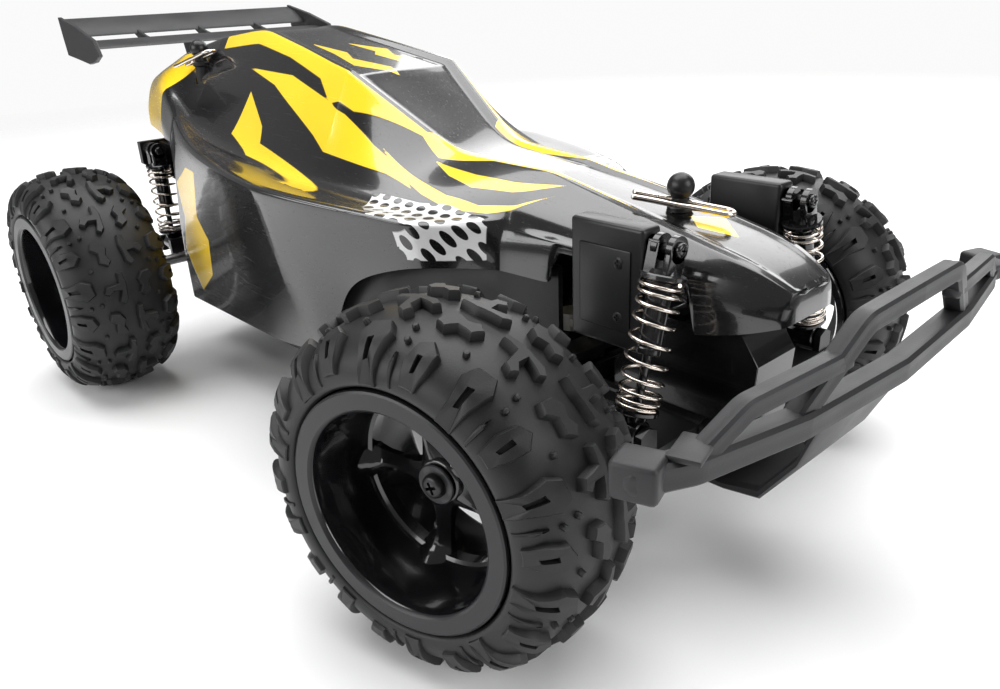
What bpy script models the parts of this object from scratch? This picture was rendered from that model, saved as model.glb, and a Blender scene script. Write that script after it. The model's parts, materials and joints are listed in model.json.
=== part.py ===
"""Radio-controlled buggy, about 1:12: chassis, sprung front arms, swinging rear gearbox, steering and body shell.

The drawing is in millimetres, +X forward, +Y to the left, +Z up, and MM turns it into metres. The origin lies on
the ground, midway between the bumper and the wing and on the centreline. The front wheels stand at STEER_REST.
Body and chassis outlines are drawn from the front axle, and stretch with the wheelbase.
"""

import math

import bmesh
import bpy
from mathutils import Matrix, Vector

MM = 0.001

# Overall sizes
WHEELBASE = 227.4
DRAWN_WHEELBASE = 227.4  # the wheelbase that the outlines below are drawn for
REAR_OVERHANG = 52.6  # rear axle to the wing's trailing edge
FRONT_OVERHANG = 78.0  # front axle to the bumper hoop
REAR_TRACK = 165.8
KINGPIN_SPAN = 118.0  # between the two kingpins
SCRUB = 21.0  # kingpin to the wheel's middle plane

# Wheels
TYRE_RADIUS = 46.0
TYRE_WIDTH = 41.4
TYRE_WALL = 4.5
RIM_RADIUS = 30.4
RIM_WIDTH = 39.9
LIP_RADIUS = 25.4  # mouth of the dish
BARREL_WALL = 2.6
HUB_RADIUS = 6.2
HUB_FACE = 3.5  # outer face of the hub, outward from the wheel's middle plane
HUB_BACK = -7.0
WEB_THICKNESS = 3.6
SPOKES = 5
SPOKE_WIDTH = 7.0
WHEEL_SIDES = 20
AXLE_RADIUS = 2.4

# Steering
STEER_REST = 13.2  # degrees to the left
STEER_ARM = 14.0
STEER_PIN_RADIUS = 1.5
BAR_THICKNESS = 2.5
BAR_WIDTH = 8.5
BAR_Z = 50.6
PIN_LEAN = 1.1  # room in the bar for the knuckle pins, which lean as the arms travel
ARM_PLATE = 3.0  # thickness of the knuckle's steering arm
HORN_Z = 53.8

# Suspension
ARM_PIVOT_Y = 20.0
ARM_FRONT = 36.0
ARM_BACK = -6.0
ARM_THICKNESS = 5.0
ARM_EYE_RADIUS = 3.4
HINGE_RADIUS = 1.5
KNUCKLE_RADIUS = 4.2
KNUCKLE_HEIGHT = 17.0
KINGPIN_RADIUS = 1.6
CARRIER_LUG = 3.0
SWING_PIVOT_X = 55.4  # ahead of the rear axle
SWING_PLATE_Y = 30.0
SWING_PLATE = 3.0

# Shocks
SHOCK_RADIUS = 3.0
SHOCK_EYE = 3.6
SHOCK_EYE_DEPTH = 6.5
SHOCK_BOLT_RADIUS = 1.3
SHOCK_BODY_LENGTH = 25.0
ROD_RADIUS = 1.2
BORE_START = 7.6  # from the shock's top bolt to the end of its bore
ROD_START = 14.4  # from the top bolt to the rod's end, which leaves the stroke
SPRING_RADIUS = 5.2
SPRING_WIRE = 0.5
SPRING_TURNS = 8
FRONT_SHOCK_X = 30.0
FRONT_SHOCK_TOP = (30.0, 95.6)  # y, z
FRONT_SHOCK_FOOT = (42.0, 52.0)
REAR_SHOCK_BEHIND = 13.0  # behind the rear axle
REAR_SHOCK_Y = 41.0
REAR_SHOCK_TOP_Z = 92.0
REAR_SHOCK_FOOT_Z = 50.0
REAR_EAR_ROOM = 1.0  # beside the rear eyes, which swing fore and aft a little

# Rear gearbox, in the swinging carrier
MODULE = 1.25
TOOTH_ROOT = 0.92  # times the module, below the pitch circle
TOOTH_TIP = 0.6  # times the module, above the pitch circle
BACKLASH = 0.08  # times the module, between two gears
AXLE_GEAR_HUB = 4 * MODULE
AXLE_TEETH = 24
IDLER_SMALL_TEETH = 10
IDLER_BIG_TEETH = 24
PINION_TEETH = 8
IDLER_ANGLE = 25.0  # degrees above the axle, seen from the side
PINION_ANGLE = 10.0
GEAR_WIDTH = 4.0
FIRST_GEAR_Y = -15.0  # the axle gear's outer face
MOTOR_RADIUS = 11.0
MOTOR_LENGTH = 27.0
SHAFT_RADIUS = 1.5
CASE_WALL = 1.6
CASE_ROOM = MODULE * AXLE_TEETH / 2 + 2.4  # inside radius of the case round the two large gears
PINION_ROOM = MODULE * PINION_TEETH / 2 + 3.4
MOTOR_SHAFT = 1.0

# Chassis and body
FLOOR_Z = 30.0
FLOOR = 3.0
WALL = 2.5
SIDE_TOP_Z = 48.0
BODY_WALL = 1.5
POST_RADIUS = 2.8
POST_BALL = 3.7
POST_HOLE = 3.5
POST_FLANGE = 1.6  # how far the foot of a post stands out
FRONT_BALL_Z = 102.2
REAR_BALL_Z = 134.0
BALL_TO_CLIP = 3.9  # from the ball's centre down to the clip hole
FRONT_DECK_Z = 84.0  # top of the front tower's bridge, under the front post
REAR_DECK_Z = 91.4
FRONT_POST = (11.5, 0.0)
REAR_POST = (-214.0, 25.0)
CLIP_WIRE = 0.7
CLIP_LENGTH = 28.0
CLIP_GAP = 5.2
CLIP_HOLE = 1.1
SWITCH_Y = -6.0
CELL_RADIUS = 7.1
CELL_LENGTH = 50.4
CELLS = 5
BAR_RADIUS = 2.7  # bumper tube
WING_SPAN = 114.8
FOOT_ROOM = 0.65  # between the wing's feet and the tail

# Clearances
GAP = 0.3  # between faces that touch
RUN = 0.3  # round a turning or sliding piece

FRONT_AXLE_X = (REAR_OVERHANG + WHEELBASE - FRONT_OVERHANG) / 2
REAR_AXLE_X = FRONT_AXLE_X - WHEELBASE
AXLE_Z = TYRE_RADIUS
KINGPIN_Y = KINGPIN_SPAN / 2

FINISHES = {  # colour, metallic, roughness
    "body_black": ((0.012, 0.012, 0.013), 0.0, 0.12),
    "nylon": ((0.035, 0.035, 0.037), 0.0, 0.55),
    "chassis_black": ((0.015, 0.015, 0.016), 0.0, 0.4),
    "rim_black": ((0.012, 0.012, 0.013), 0.0, 0.25),
    "tyre": ((0.03, 0.03, 0.03), 0.0, 0.75),
    "nickel": ((0.72, 0.66, 0.6), 1.0, 0.22),
    "steel": ((0.5, 0.5, 0.5), 1.0, 0.35),
    "zinc_can": ((0.6, 0.6, 0.6), 1.0, 0.3),
    "gear_white": ((0.8, 0.79, 0.74), 0.0, 0.45),
    "battery_wrap": ((0.08, 0.2, 0.12), 0.0, 0.35),
    "board_green": ((0.03, 0.16, 0.07), 0.0, 0.5),
}


def bx(x):
    """A place on the drawing, x from the front axle, on this wheelbase."""
    return FRONT_AXLE_X + (x * WHEELBASE / DRAWN_WHEELBASE if x < 0 else x)


# ---------------------------------------------------------------- shapes in millimetres


def box(lo, hi):
    shape = bmesh.new()
    bmesh.ops.create_cube(shape, size=1)
    middle = (Vector(lo) + Vector(hi)) / 2
    size = Vector(hi) - Vector(lo)
    for vertex in shape.verts:
        vertex.co = middle + Vector(c * s for c, s in zip(vertex.co, size))
    return shape


def rod(start, end, radius, sides=16, end_radius=None):
    start, end = Vector(start), Vector(end)
    shape = bmesh.new()
    far = radius if end_radius is None else end_radius
    length = (end - start).length
    bmesh.ops.create_cone(shape, cap_ends=True, segments=sides, radius1=radius, radius2=far, depth=length)
    turn = (end - start).to_track_quat("Z", "Y").to_matrix().to_4x4()
    bmesh.ops.transform(shape, matrix=Matrix.Translation((start + end) / 2) @ turn, verts=shape.verts)
    return shape


def ball(centre, radius, rings=6):
    shape = bmesh.new()
    bmesh.ops.create_uvsphere(shape, u_segments=10, v_segments=rings, radius=radius)
    bmesh.ops.translate(shape, vec=centre, verts=shape.verts)
    return shape


def loft(rings, closed=False):
    """Skin over rings of the same count; the ends are capped unless the rings close on themselves."""
    shape = bmesh.new()
    rows = [[shape.verts.new(point) for point in ring] for ring in rings]
    count = len(rings[0])
    pairs = list(zip(rows, rows[1:])) + ([(rows[-1], rows[0])] if closed else [])
    for first, second in pairs:
        for i in range(count):
            j = (i + 1) % count
            shape.faces.new((first[i], first[j], second[j], second[i]))
    if not closed:
        shape.faces.new(reversed(rows[0]))
        shape.faces.new(rows[-1])
    return shape


def lathe(profile, sides=WHEEL_SIDES):
    """A closed profile of (along, radius) turned round the Y axis, with one corner straight down."""
    rings = []
    for step in range(sides):
        angle = math.tau * step / sides
        rings.append([(r * math.sin(angle), along, -r * math.cos(angle)) for along, r in profile])
    return loft(rings, closed=True)


def prism(outline, low, high, axis="Z"):
    """An outline extruded along an axis; it lies in the two other axes, in X, Y, Z order."""
    place = {
        "X": lambda a, b, h: (h, a, b),
        "Y": lambda a, b, h: (a, h, b),
        "Z": lambda a, b, h: (a, b, h),
    }[axis]
    return loft([[place(a, b, height) for a, b in outline] for height in (low, high)])


def sweep(route, width, height, sides=8, up=(0, 0, 1), phase=0.5):
    """A rounded bar of this width and height along a route, mitred at its corners."""
    route = [Vector(point) for point in route]
    rings = []
    for i, point in enumerate(route):
        before = (point - route[i - 1]).normalized() if i else None
        after = (route[i + 1] - point).normalized() if i + 1 < len(route) else None
        before, after = before or after, after or before
        along = (before + after).normalized()
        side = along.cross(Vector(up)).normalized()
        rise = side.cross(along).normalized()
        stretch = 1 / max(along.dot(after), 0.5)
        ring = []
        for step in range(sides):
            angle = math.tau * (step + phase) / sides
            flat = side * width / 2 * math.cos(angle) + rise * height / 2 * math.sin(angle)
            bend = after - before
            if bend.length > 1e-6:
                bend.normalize()
                flat += bend * flat.dot(bend) * (stretch - 1)
            ring.append(point + flat)
        rings.append(ring)
    return loft(rings)


def moved(shape, matrix):
    bmesh.ops.transform(shape, matrix=matrix, verts=shape.verts)
    return shape


def scratch(shape):
    """A throwaway object for a Boolean."""
    bmesh.ops.recalc_face_normals(shape, faces=shape.faces)
    bmesh.ops.triangulate(shape, faces=[face for face in shape.faces if len(face.verts) > 4])
    mesh = bpy.data.meshes.new("scratch")
    shape.to_mesh(mesh)
    shape.free()
    thing = bpy.data.objects.new("scratch", mesh)
    bpy.context.scene.collection.objects.link(thing)
    return thing


def combined(parts, cuts=(), solver="EXACT"):
    """The first shape with the others joined to it and the cuts taken out."""
    base = scratch(parts[0])
    tools = [(scratch(part), "UNION") for part in parts[1:]] + [(scratch(cut), "DIFFERENCE") for cut in cuts]
    for tool, operation in tools:
        step = base.modifiers.new(operation, "BOOLEAN")
        step.object = tool
        step.operation = operation
        step.solver = solver
    graph = bpy.context.evaluated_depsgraph_get()
    result = bmesh.new()
    evaluated = base.evaluated_get(graph)
    result.from_mesh(evaluated.to_mesh())
    evaluated.to_mesh_clear()
    for thing in [base] + [tool for tool, _ in tools]:
        bpy.data.objects.remove(thing)
    return result


def finish_material(name):
    if name in bpy.data.materials:
        return bpy.data.materials[name]
    colour, metallic, roughness = FINISHES[name]
    material = bpy.data.materials.new(name)
    material.use_nodes = True
    shader = material.node_tree.nodes["Principled BSDF"]
    shader.inputs["Base Color"].default_value = (*colour, 1)
    shader.inputs["Metallic"].default_value = metallic
    shader.inputs["Roughness"].default_value = roughness
    material.diffuse_color = (*colour, 1)
    return material


def piece(name, shape, finish, pivot=(0, 0, 0)):
    """The named object, its origin at the pivot, its size in metres."""
    bmesh.ops.recalc_face_normals(shape, faces=shape.faces)
    bmesh.ops.translate(shape, vec=-Vector(pivot), verts=shape.verts)
    bmesh.ops.scale(shape, vec=(MM, MM, MM), verts=shape.verts)
    mesh = bpy.data.meshes.new(name)
    shape.to_mesh(mesh)
    shape.free()
    mesh.shade_smooth()
    mesh.set_sharp_from_angle(angle=math.radians(35))
    mesh.materials.append(finish_material(finish))
    thing = bpy.data.objects.new(name, mesh)
    thing.location = Vector(pivot) * MM
    bpy.context.scene.collection.objects.link(thing)
    return thing


def shared(name, original, matrix):
    """Another object on the same mesh, placed by a matrix in metres."""
    thing = bpy.data.objects.new(name, original.data)
    thing.matrix_world = matrix
    bpy.context.scene.collection.objects.link(thing)
    return thing


# ---------------------------------------------------------------- body shell

# Each guide runs from the tail to the nose: x from the front axle, y from the centreline, z from the ground.
SPINE = [(-266, 0, 125), (-242, 0, 132), (-206, 0, 138.5), (-172, 0, 142), (-107, 0, 130), (-67, 0, 105.5),
         (-28, 0, 104), (10, 0, 96.5), (32, 0, 91.5), (42, 0, 89), (51, 0, 84)]
RIDGE = [(-266, 17, 124.5), (-242, 19, 131.5), (-206, 18, 138), (-172, 16.5, 141.5), (-140, 19.5, 135.5),
         (-107, 23, 129), (-67, 14.5, 105.2), (-28, 10.5, 103.4), (10, 13, 95.8), (32, 13, 91), (42, 12, 88.6),
         (51, 9, 83.4)]
SHOULDER = [(-266, 25, 121), (-242, 26, 127.4), (-224, 24, 125), (-206, 25, 126), (-172, 27, 125), (-140, 32, 115.5),
            (-107, 35, 106), (-67, 35, 98.5), (-45, 31, 96.5), (-28, 23, 96), (10, 20, 92.5), (32, 16, 88),
            (42, 14, 85.6), (51, 10.2, 81.4)]
GUTTER = [(-266, 27.5, 118), (-242, 30, 126.5), (-224, 33, 116), (-206, 37, 107), (-172, 38.5, 98),
          (-140, 40.5, 94), (-107, 43, 92.5), (-67, 42, 91.5), (-45, 36, 92), (-28, 25, 93.4), (10, 22.2, 90.6),
          (32, 17.4, 85.4), (42, 15, 83), (51, 10.6, 79.8)]
RAIL_INNER = [(-266, 29.2, 114), (-242, 32, 124), (-224, 36, 114.4), (-212, 40, 111), (-196, 45, 106.2),
              (-181, 49, 102.6), (-158, 53.5, 100.4), (-131, 58.5, 99.2), (-116, 60.6, 98.6), (-105, 61.6, 98.2),
              (-92, 59.8, 97.2), (-76, 56.6, 96.1), (-52, 48.4, 93.8), (-45.5, 45.4, 92.4), (-33, 33.2, 92.8),
              (-28, 26.4, 91.6), (10, 23.6, 88.8), (32, 18.2, 82), (42, 15.6, 80.4), (51, 10.8, 78.4)]
RAIL_OUTER = [(-266, 30.4, 110), (-242, 34, 121), (-224, 38.6, 112.6), (-212, 42.8, 110.2), (-196, 48, 105.4),
              (-181, 52, 101.8), (-158, 56.4, 99.6), (-131, 61.4, 98.4), (-116, 63.4, 97.8), (-105, 64.4, 97.4),
              (-92, 62.6, 96.4), (-76, 59.4, 95.3), (-52, 51.2, 93), (-45.5, 48, 91.6), (-33, 34.8, 91),
              (-28, 27.8, 89.4), (-10, 27.6, 89.4), (10, 24.6, 87.8), (32, 18.6, 78), (42, 16, 78), (51, 11, 77)]
FLANK = [(-266, 31.4, 106), (-242, 36, 108), (-224, 41, 104), (-207.5, 46.5, 101), (-206, 50.5, 70), (-172, 54, 68),
         (-131, 58, 68), (-105, 58.5, 68), (-97, 57.6, 72), (-80, 55.6, 82), (-64, 51.5, 86), (-46, 47, 86.6),
         (-33, 34.4, 86.4), (-28, 29.4, 86), (-10, 28.6, 86), (-8, 27, 88.2), (10, 25, 87), (29, 20, 85),
         (30.5, 18.8, 75), (42, 16.2, 75.4), (51, 11, 76.2)]
SILL = [(-266, 31.4, 100), (-242, 36, 98.5), (-224, 42, 98), (-207.5, 47, 98), (-206, 50, 34), (-129, 50, 34),
        (-97, 48, 37), (-90, 48.5, 50), (-80, 50, 66), (-64, 49.5, 75), (-46, 46, 79), (-33, 33.8, 78.5),
        (-28, 30, 78), (-10, 29, 78), (-8, 27.4, 86.8), (10, 25.2, 85.8), (29, 20.3, 83.8), (30.5, 18.6, 70.5),
        (42, 16, 72.5), (51, 11, 75.4)]
GUIDES = (SPINE, RIDGE, SHOULDER, GUTTER, RAIL_INNER, RAIL_OUTER, FLANK, SILL)
BODY_STATIONS = (-266, -254, -242, -224, -207.5, -206, -190, -172, -150, -131, -116, -105, -97, -90, -80, -67, -52,
                 -45.5, -33, -28, -10, -8, 10, 29, 30.5, 42, 51)
UNDERCUT = 12.0  # how far the hollow reaches below the sill, so that it opens there


def on_guide(guide, x):
    if x <= guide[0][0]:
        return guide[0][1:]
    for (x0, y0, z0), (x1, y1, z1) in zip(guide, guide[1:]):
        if x <= x1:
            share = (x - x0) / (x1 - x0)
            return y0 + (y1 - y0) * share, z0 + (z1 - z0) * share
    return guide[-1][1:]


def body_ring(x, inset=0.0):
    """The section at a station, moved inwards by the inset, as a closed ring."""
    points = [Vector(on_guide(guide, x)) for guide in GUIDES]
    half = []
    for i, point in enumerate(points):
        before = points[i - 1] if i else Vector((-points[1].x, points[1].y))
        after = points[i + 1] if i + 1 < len(points) else point + (point - points[i - 1])
        run = (point - before).normalized() + (after - point).normalized()
        inward = Vector((run.y, -run.x)).normalized()
        half.append(point + inward * inset)
    if inset:
        half[-1] += Vector((0, -UNDERCUT))
    half[0].x = 0
    left = [(bx(x), p.x, p.y) for p in half]
    right = [(bx(x), -p.x, p.y) for p in reversed(half[1:])]
    return left + right


def make_body():
    outer = loft([body_ring(x) for x in BODY_STATIONS])
    inner_stations = [BODY_STATIONS[0] + BODY_WALL, *BODY_STATIONS[1:-1], BODY_STATIONS[-1] - BODY_WALL]
    hollow = loft([body_ring(x, BODY_WALL) for x in inner_stations])
    holes = [rod((x, y, 80), (x, y, 160), POST_HOLE, 14) for x, y in post_places().values()]
    piece("body_shell", combined([outer], [hollow] + holes, "MANIFOLD"), "body_black")


def post_places():
    rear_x = bx(REAR_POST[0])
    return {
        "front": (bx(FRONT_POST[0]), FRONT_POST[1]),
        "rear_left": (rear_x, REAR_POST[1]),
        "rear_right": (rear_x, -REAR_POST[1]),
    }


# ---------------------------------------------------------------- wing and bumper


def tail_top(x):
    """The height, at a place on the part, where something can stand just clear of the tail."""
    drawn = (x - FRONT_AXLE_X) * DRAWN_WHEELBASE / WHEELBASE
    return on_guide(SPINE, drawn)[1] + FOOT_ROOM


def make_wing():
    """Two slotted blades between end plates, on two uprights that stand on the tail."""
    rear = FRONT_AXLE_X - WHEELBASE - REAR_OVERHANG
    half = WING_SPAN / 2
    plate = [(0, 148.5), (38, 139.5), (42, 132.5), (29, 129), (3, 132)]
    main = [(17, 138.2), (26, 138.6), (37, 136.6), (38, 135.4), (27, 136), (17, 136.4)]
    flap = [(0.6, 148.2), (9, 144.4), (15.4, 140.6), (15, 139.4), (8, 142.4), (0.6, 146.4)]
    shapes = [prism([(rear + x, z) for x, z in main], -half + 1, half - 1, "Y")]
    shapes.append(prism([(rear + x, z) for x, z in flap], -half + 1, half - 1, "Y"))
    for side in (-1, 1):
        low, high = sorted((side * half, side * (half - 2)))
        shapes.append(prism([(rear + x, z) for x, z in plate], low, high, "Y"))
    for y in (-half / 2, 0, half / 2):
        rib = [(2, 146.8), (14, 141.4), (36, 137), (36, 135), (16, 136), (3, 144.6)]
        shapes.append(prism([(rear + x, z) for x, z in rib], y - 1, y + 1, "Y"))
    for side in (-1, 1):
        foot = [(23, 137), (34, 136), (31, tail_top(rear + 31)), (26, tail_top(rear + 26))]
        shapes.append(prism([(rear + x, z) for x, z in foot], side * 12 - 1.5, side * 12 + 1.5, "Y"))
    piece("rear_wing", combined(shapes), "nylon")


def make_bumper():
    """A lower bar with a raised hoop and two side rails, on a chin that rises from the skid plate."""
    front = FRONT_AXLE_X + FRONT_OVERHANG - BAR_RADIUS
    thick = 2 * BAR_RADIUS
    bar = [(-13.5, -83, 71), (-8.5, -70, 70.4), (-4, -40, 69), (-2, 0, 68), (-4, 40, 69), (-8.5, 70, 70.4),
           (-13.5, 83, 71)]
    hoop = [(-4, -38, 69), (0, -21.5, 87), (0, 21.5, 87), (-4, 38, 69)]
    shapes = [sweep([(front + x, y, z) for x, y, z in bar], 8, 6, 10)]
    shapes.append(sweep([(front + x, y, z) for x, y, z in hoop], thick, thick, 8, up=(1, 0, 0), phase=0))
    for side in (-1, 1):
        rail = [(-8, side * 70, 70), (-5.5, side * 58.5, 79.4), (-1.8, side * 28.5, 79.6)]
        shapes.append(sweep([(front + x, y, z) for x, y, z in rail], thick, thick, 8, up=(1, 0, 0)))
    chin = [(-2, 68), (-5, 69), (-13, 47), (-25, 31.5), (-36, 29.7), (-60, 29.7), (-60, 26.7), (-23, 27.5), (-9.5, 45)]
    outline = [(front + x, z) for x, z in chin]
    shapes.append(prism(outline, -17, 17, "Y"))
    piece("front_bumper", combined(shapes, solver="MANIFOLD"), "nylon")


# ---------------------------------------------------------------- chassis


def mirrored(half):
    """A closed outline from its left half, given front to back."""
    return half + [(x, -y) for x, y in reversed(half)]


def make_chassis():
    plan = [(38, 12), (8, 13), (-10, 14), (-50, 22), (-66, 45), (-150, 45), (-163, 34), (-166, 20)]
    outer = [(bx(x), y) for x, y in plan]
    inner = [(bx(x) + (-WALL if i == 0 else WALL if i == len(plan) - 1 else 0), y - WALL)
             for i, (x, y) in enumerate(plan)]
    tub = prism(mirrored(outer), FLOOR_Z, SIDE_TOP_Z)
    pocket = prism(mirrored(inner), FLOOR_Z + FLOOR, SIDE_TOP_Z + 1)
    pivot_x = REAR_AXLE_X + SWING_PIVOT_X
    inside = SWING_PLATE_Y - GAP
    lugs = []
    for side in (-1, 1):
        low, high = sorted((side * (inside - 4), side * inside))
        lugs.append(prism([(bx(-164), 31), (bx(-164), 50), (pivot_x, 50), (pivot_x - 4.5, 46), (pivot_x - 2, 41)],
                          low, high, "Y"))
    front_slot = box((FRONT_AXLE_X + ARM_BACK - 5, -30, 41), (bx(40), 30, 60))
    pin_hole = rod((pivot_x, -60, AXLE_Z), (pivot_x, 60, AXLE_Z), HINGE_RADIUS + RUN, 12)
    switch_slot = box((bx(-58) - 6, SWITCH_Y - 3, 20), (bx(-58) + 6, SWITCH_Y + 3, 40))
    door = box((bx(-146), -27, 20), (bx(-76), 27, 40))
    tub = combined([tub], [pocket, front_slot])
    piece("chassis_tub", combined([tub] + lugs, [pin_hole, switch_slot, door]), "chassis_black")
    door_plate = box((bx(-146) + GAP, -27 + GAP, FLOOR_Z), (bx(-76) - GAP, 27 - GAP, FLOOR_Z + FLOOR))
    grooves = [box((bx(-128 + 10 * i), -15, FLOOR_Z - 1), (bx(-126 + 10 * i), 15, FLOOR_Z + 0.8)) for i in range(4)]
    piece("battery_door", combined([door_plate], grooves), "nylon")
    start = bx(-58) - 5.4
    lever = [box((start, SWITCH_Y - 2.6, FLOOR_Z + 1), (start + 7, SWITCH_Y + 2.6, 37)),
             box((start + 2, SWITCH_Y - 1.6, FLOOR_Z - 1.4), (start + 5, SWITCH_Y + 1.6, FLOOR_Z + 2))]
    piece("power_switch", combined(lever), "nylon", pivot=(start, SWITCH_Y, FLOOR_Z))
    swing_pin = rod((pivot_x, -36, AXLE_Z), (pivot_x, 36, AXLE_Z), HINGE_RADIUS, 12)
    piece("swing_pin", swing_pin, "steel", pivot=(pivot_x, 0, AXLE_Z))


def make_bulkhead():
    """The block between the front arms: it carries their hinge pins and the nose end of the tub."""
    half = ARM_PIVOT_Y - ARM_EYE_RADIUS - 1
    floor = FLOOR_Z + FLOOR + GAP
    x0 = FRONT_AXLE_X + ARM_BACK
    x1 = FRONT_AXLE_X + ARM_FRONT
    profile = [(x0 + 3, floor), (x1 - 2, floor), (x1 - 2, 41.5), (x1 + 6, 41.5), (x1 + 7.5, 62), (x1 + 2, 70),
               (x0 + 14, 68), (x0 + 3, 49.5)]
    block = prism(profile, -half + 6.6, half - 6.6, "Y")
    shapes = [block]
    for x in (x0 - 4.0, x1 + 0.3):
        lug = [(-ARM_PIVOT_Y - 3, AXLE_Z - 3), (-ARM_PIVOT_Y - 3, AXLE_Z + 3), (-8, AXLE_Z + 3.2),
               (8, AXLE_Z + 3.2), (ARM_PIVOT_Y + 3, AXLE_Z + 3), (ARM_PIVOT_Y + 3, AXLE_Z - 3)]
        shapes.append(prism(lug, x, x + 3.7, "X"))
    spine = box((x0 - 2, -5, 43.4), (x0 + 6, 5, 49))
    shapes.append(spine)
    holes = []
    for side in (-1, 1):
        y = side * ARM_PIVOT_Y
        holes.append(rod((x0 - 9, y, AXLE_Z), (x1 + 9, y, AXLE_Z), HINGE_RADIUS + GAP, 12))
    piece("front_bulkhead", combined(shapes, holes), "body_black")
    for side, name in ((1, "left"), (-1, "right")):
        y = side * ARM_PIVOT_Y
        pin = rod((x0 - 5, y, AXLE_Z), (x1 + 5, y, AXLE_Z), HINGE_RADIUS, 12)
        piece(f"arm_pin_{name}", pin, "steel", pivot=(x0, y, AXLE_Z))


def make_towers():
    """The front tower: two boxed uprights on a bridge. The rear tower: a plate behind the gearbox."""
    top_y, top_z = FRONT_SHOCK_TOP
    x1 = FRONT_AXLE_X + FRONT_SHOCK_X - SHOCK_EYE_DEPTH / 2 - 1.2
    x0 = x1 - 23
    face = x1 - 6
    shapes = [box((x0 + 4, -top_y + 2, 71), (face - 3, top_y - 2, 80))]
    shapes.append(box((x0 + 7, -9, 69), (face - 6, 9, FRONT_DECK_Z)))
    for side in (-1, 1):
        low, high = sorted((side * (top_y - 3.6), side * (top_y + 3.4)))
        shapes.append(box((x0, low, 68), (face, high, 100)))
        shapes.append(rod((face - 1, side * top_y, top_z), (x1, side * top_y, top_z), SHOCK_EYE - 0.4, 12))
        shapes.append(rod((x1 - 1, side * top_y, top_z), (x1 + SHOCK_EYE_DEPTH + 1, side * top_y, top_z),
                          SHOCK_BOLT_RADIUS, 10))
    piece("front_tower", combined(shapes), "nylon")

    x = REAR_AXLE_X - REAR_SHOCK_BEHIND
    back = x - SPRING_RADIUS - SPRING_WIRE - 0.6
    eye_z = REAR_SHOCK_TOP_Z
    ear = REAR_SHOCK_Y + 4
    half = [(14, 66), (22, 70), (ear, 86), (ear, 95.5), (28, 95.5), (24, 110), (6, 112)]
    plate = half + [(-y, z) for y, z in reversed(half)]
    shapes = [prism(plate, back - 3.4, back - 0.4, "X")]
    for side in (-1, 1):
        y = side * REAR_SHOCK_Y
        boss_end = x - SHOCK_EYE_DEPTH / 2 - RUN
        shapes.append(rod((back - 1, y, eye_z), (boss_end, y, eye_z), SHOCK_EYE - 0.6, 12))
        shapes.append(rod((back - 1, y, eye_z), (x + SHOCK_EYE_DEPTH / 2 + 1.2, y, eye_z), SHOCK_BOLT_RADIUS, 10))
        rail = [(bx(-154), FLOOR_Z + FLOOR + GAP), (bx(-154), 82), (back - 2, 90), (back - 2, 95),
                (bx(-146), 88), (bx(-146), FLOOR_Z + FLOOR + GAP)]
        low, high = sorted((side * (SWING_PLATE_Y + 3.8), side * (SWING_PLATE_Y + 6.4)))
        shapes.append(prism(rail, low, high, "Y"))
    deck_x = bx(REAR_POST[0])
    deck_y = SWING_PLATE_Y + 5
    shapes.append(box((deck_x - 5, -deck_y, REAR_DECK_Z - 3), (deck_x + 5, deck_y, REAR_DECK_Z)))
    piece("rear_tower", combined(shapes), "nylon")


# ---------------------------------------------------------------- shocks and springs


def shock_lines():
    """Each shock's top and foot."""
    x = FRONT_AXLE_X + FRONT_SHOCK_X
    rear = REAR_AXLE_X - REAR_SHOCK_BEHIND
    lines = {}
    for name, side in (("left", 1), ("right", -1)):
        lines[f"front_{name}"] = [Vector((x, side * y, z)) for y, z in (FRONT_SHOCK_TOP, FRONT_SHOCK_FOOT)]
        y = side * REAR_SHOCK_Y
        lines[f"rear_{name}"] = [Vector((rear, y, REAR_SHOCK_TOP_Z)), Vector((rear, y, REAR_SHOCK_FOOT_Z))]
    return lines


def along_x(centre, radius, half):
    return rod(centre - Vector((half, 0, 0)), centre + Vector((half, 0, 0)), radius, 10)


def coil(start, end, radius, wire, turns, steps=6):
    """A spring's wire, wound from start to end."""
    axis = (end - start).normalized()
    across = axis.cross(Vector((1, 0, 0))).normalized()
    third = axis.cross(across)
    route = []
    for i in range(turns * steps + 1):
        angle = math.tau * i / steps
        share = i / (turns * steps)
        centre = start.lerp(end, share)
        route.append(centre + (across * math.cos(angle) + third * math.sin(angle)) * radius)
    return sweep(route, 2 * wire, 2 * wire, 3, up=tuple(axis))


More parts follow.
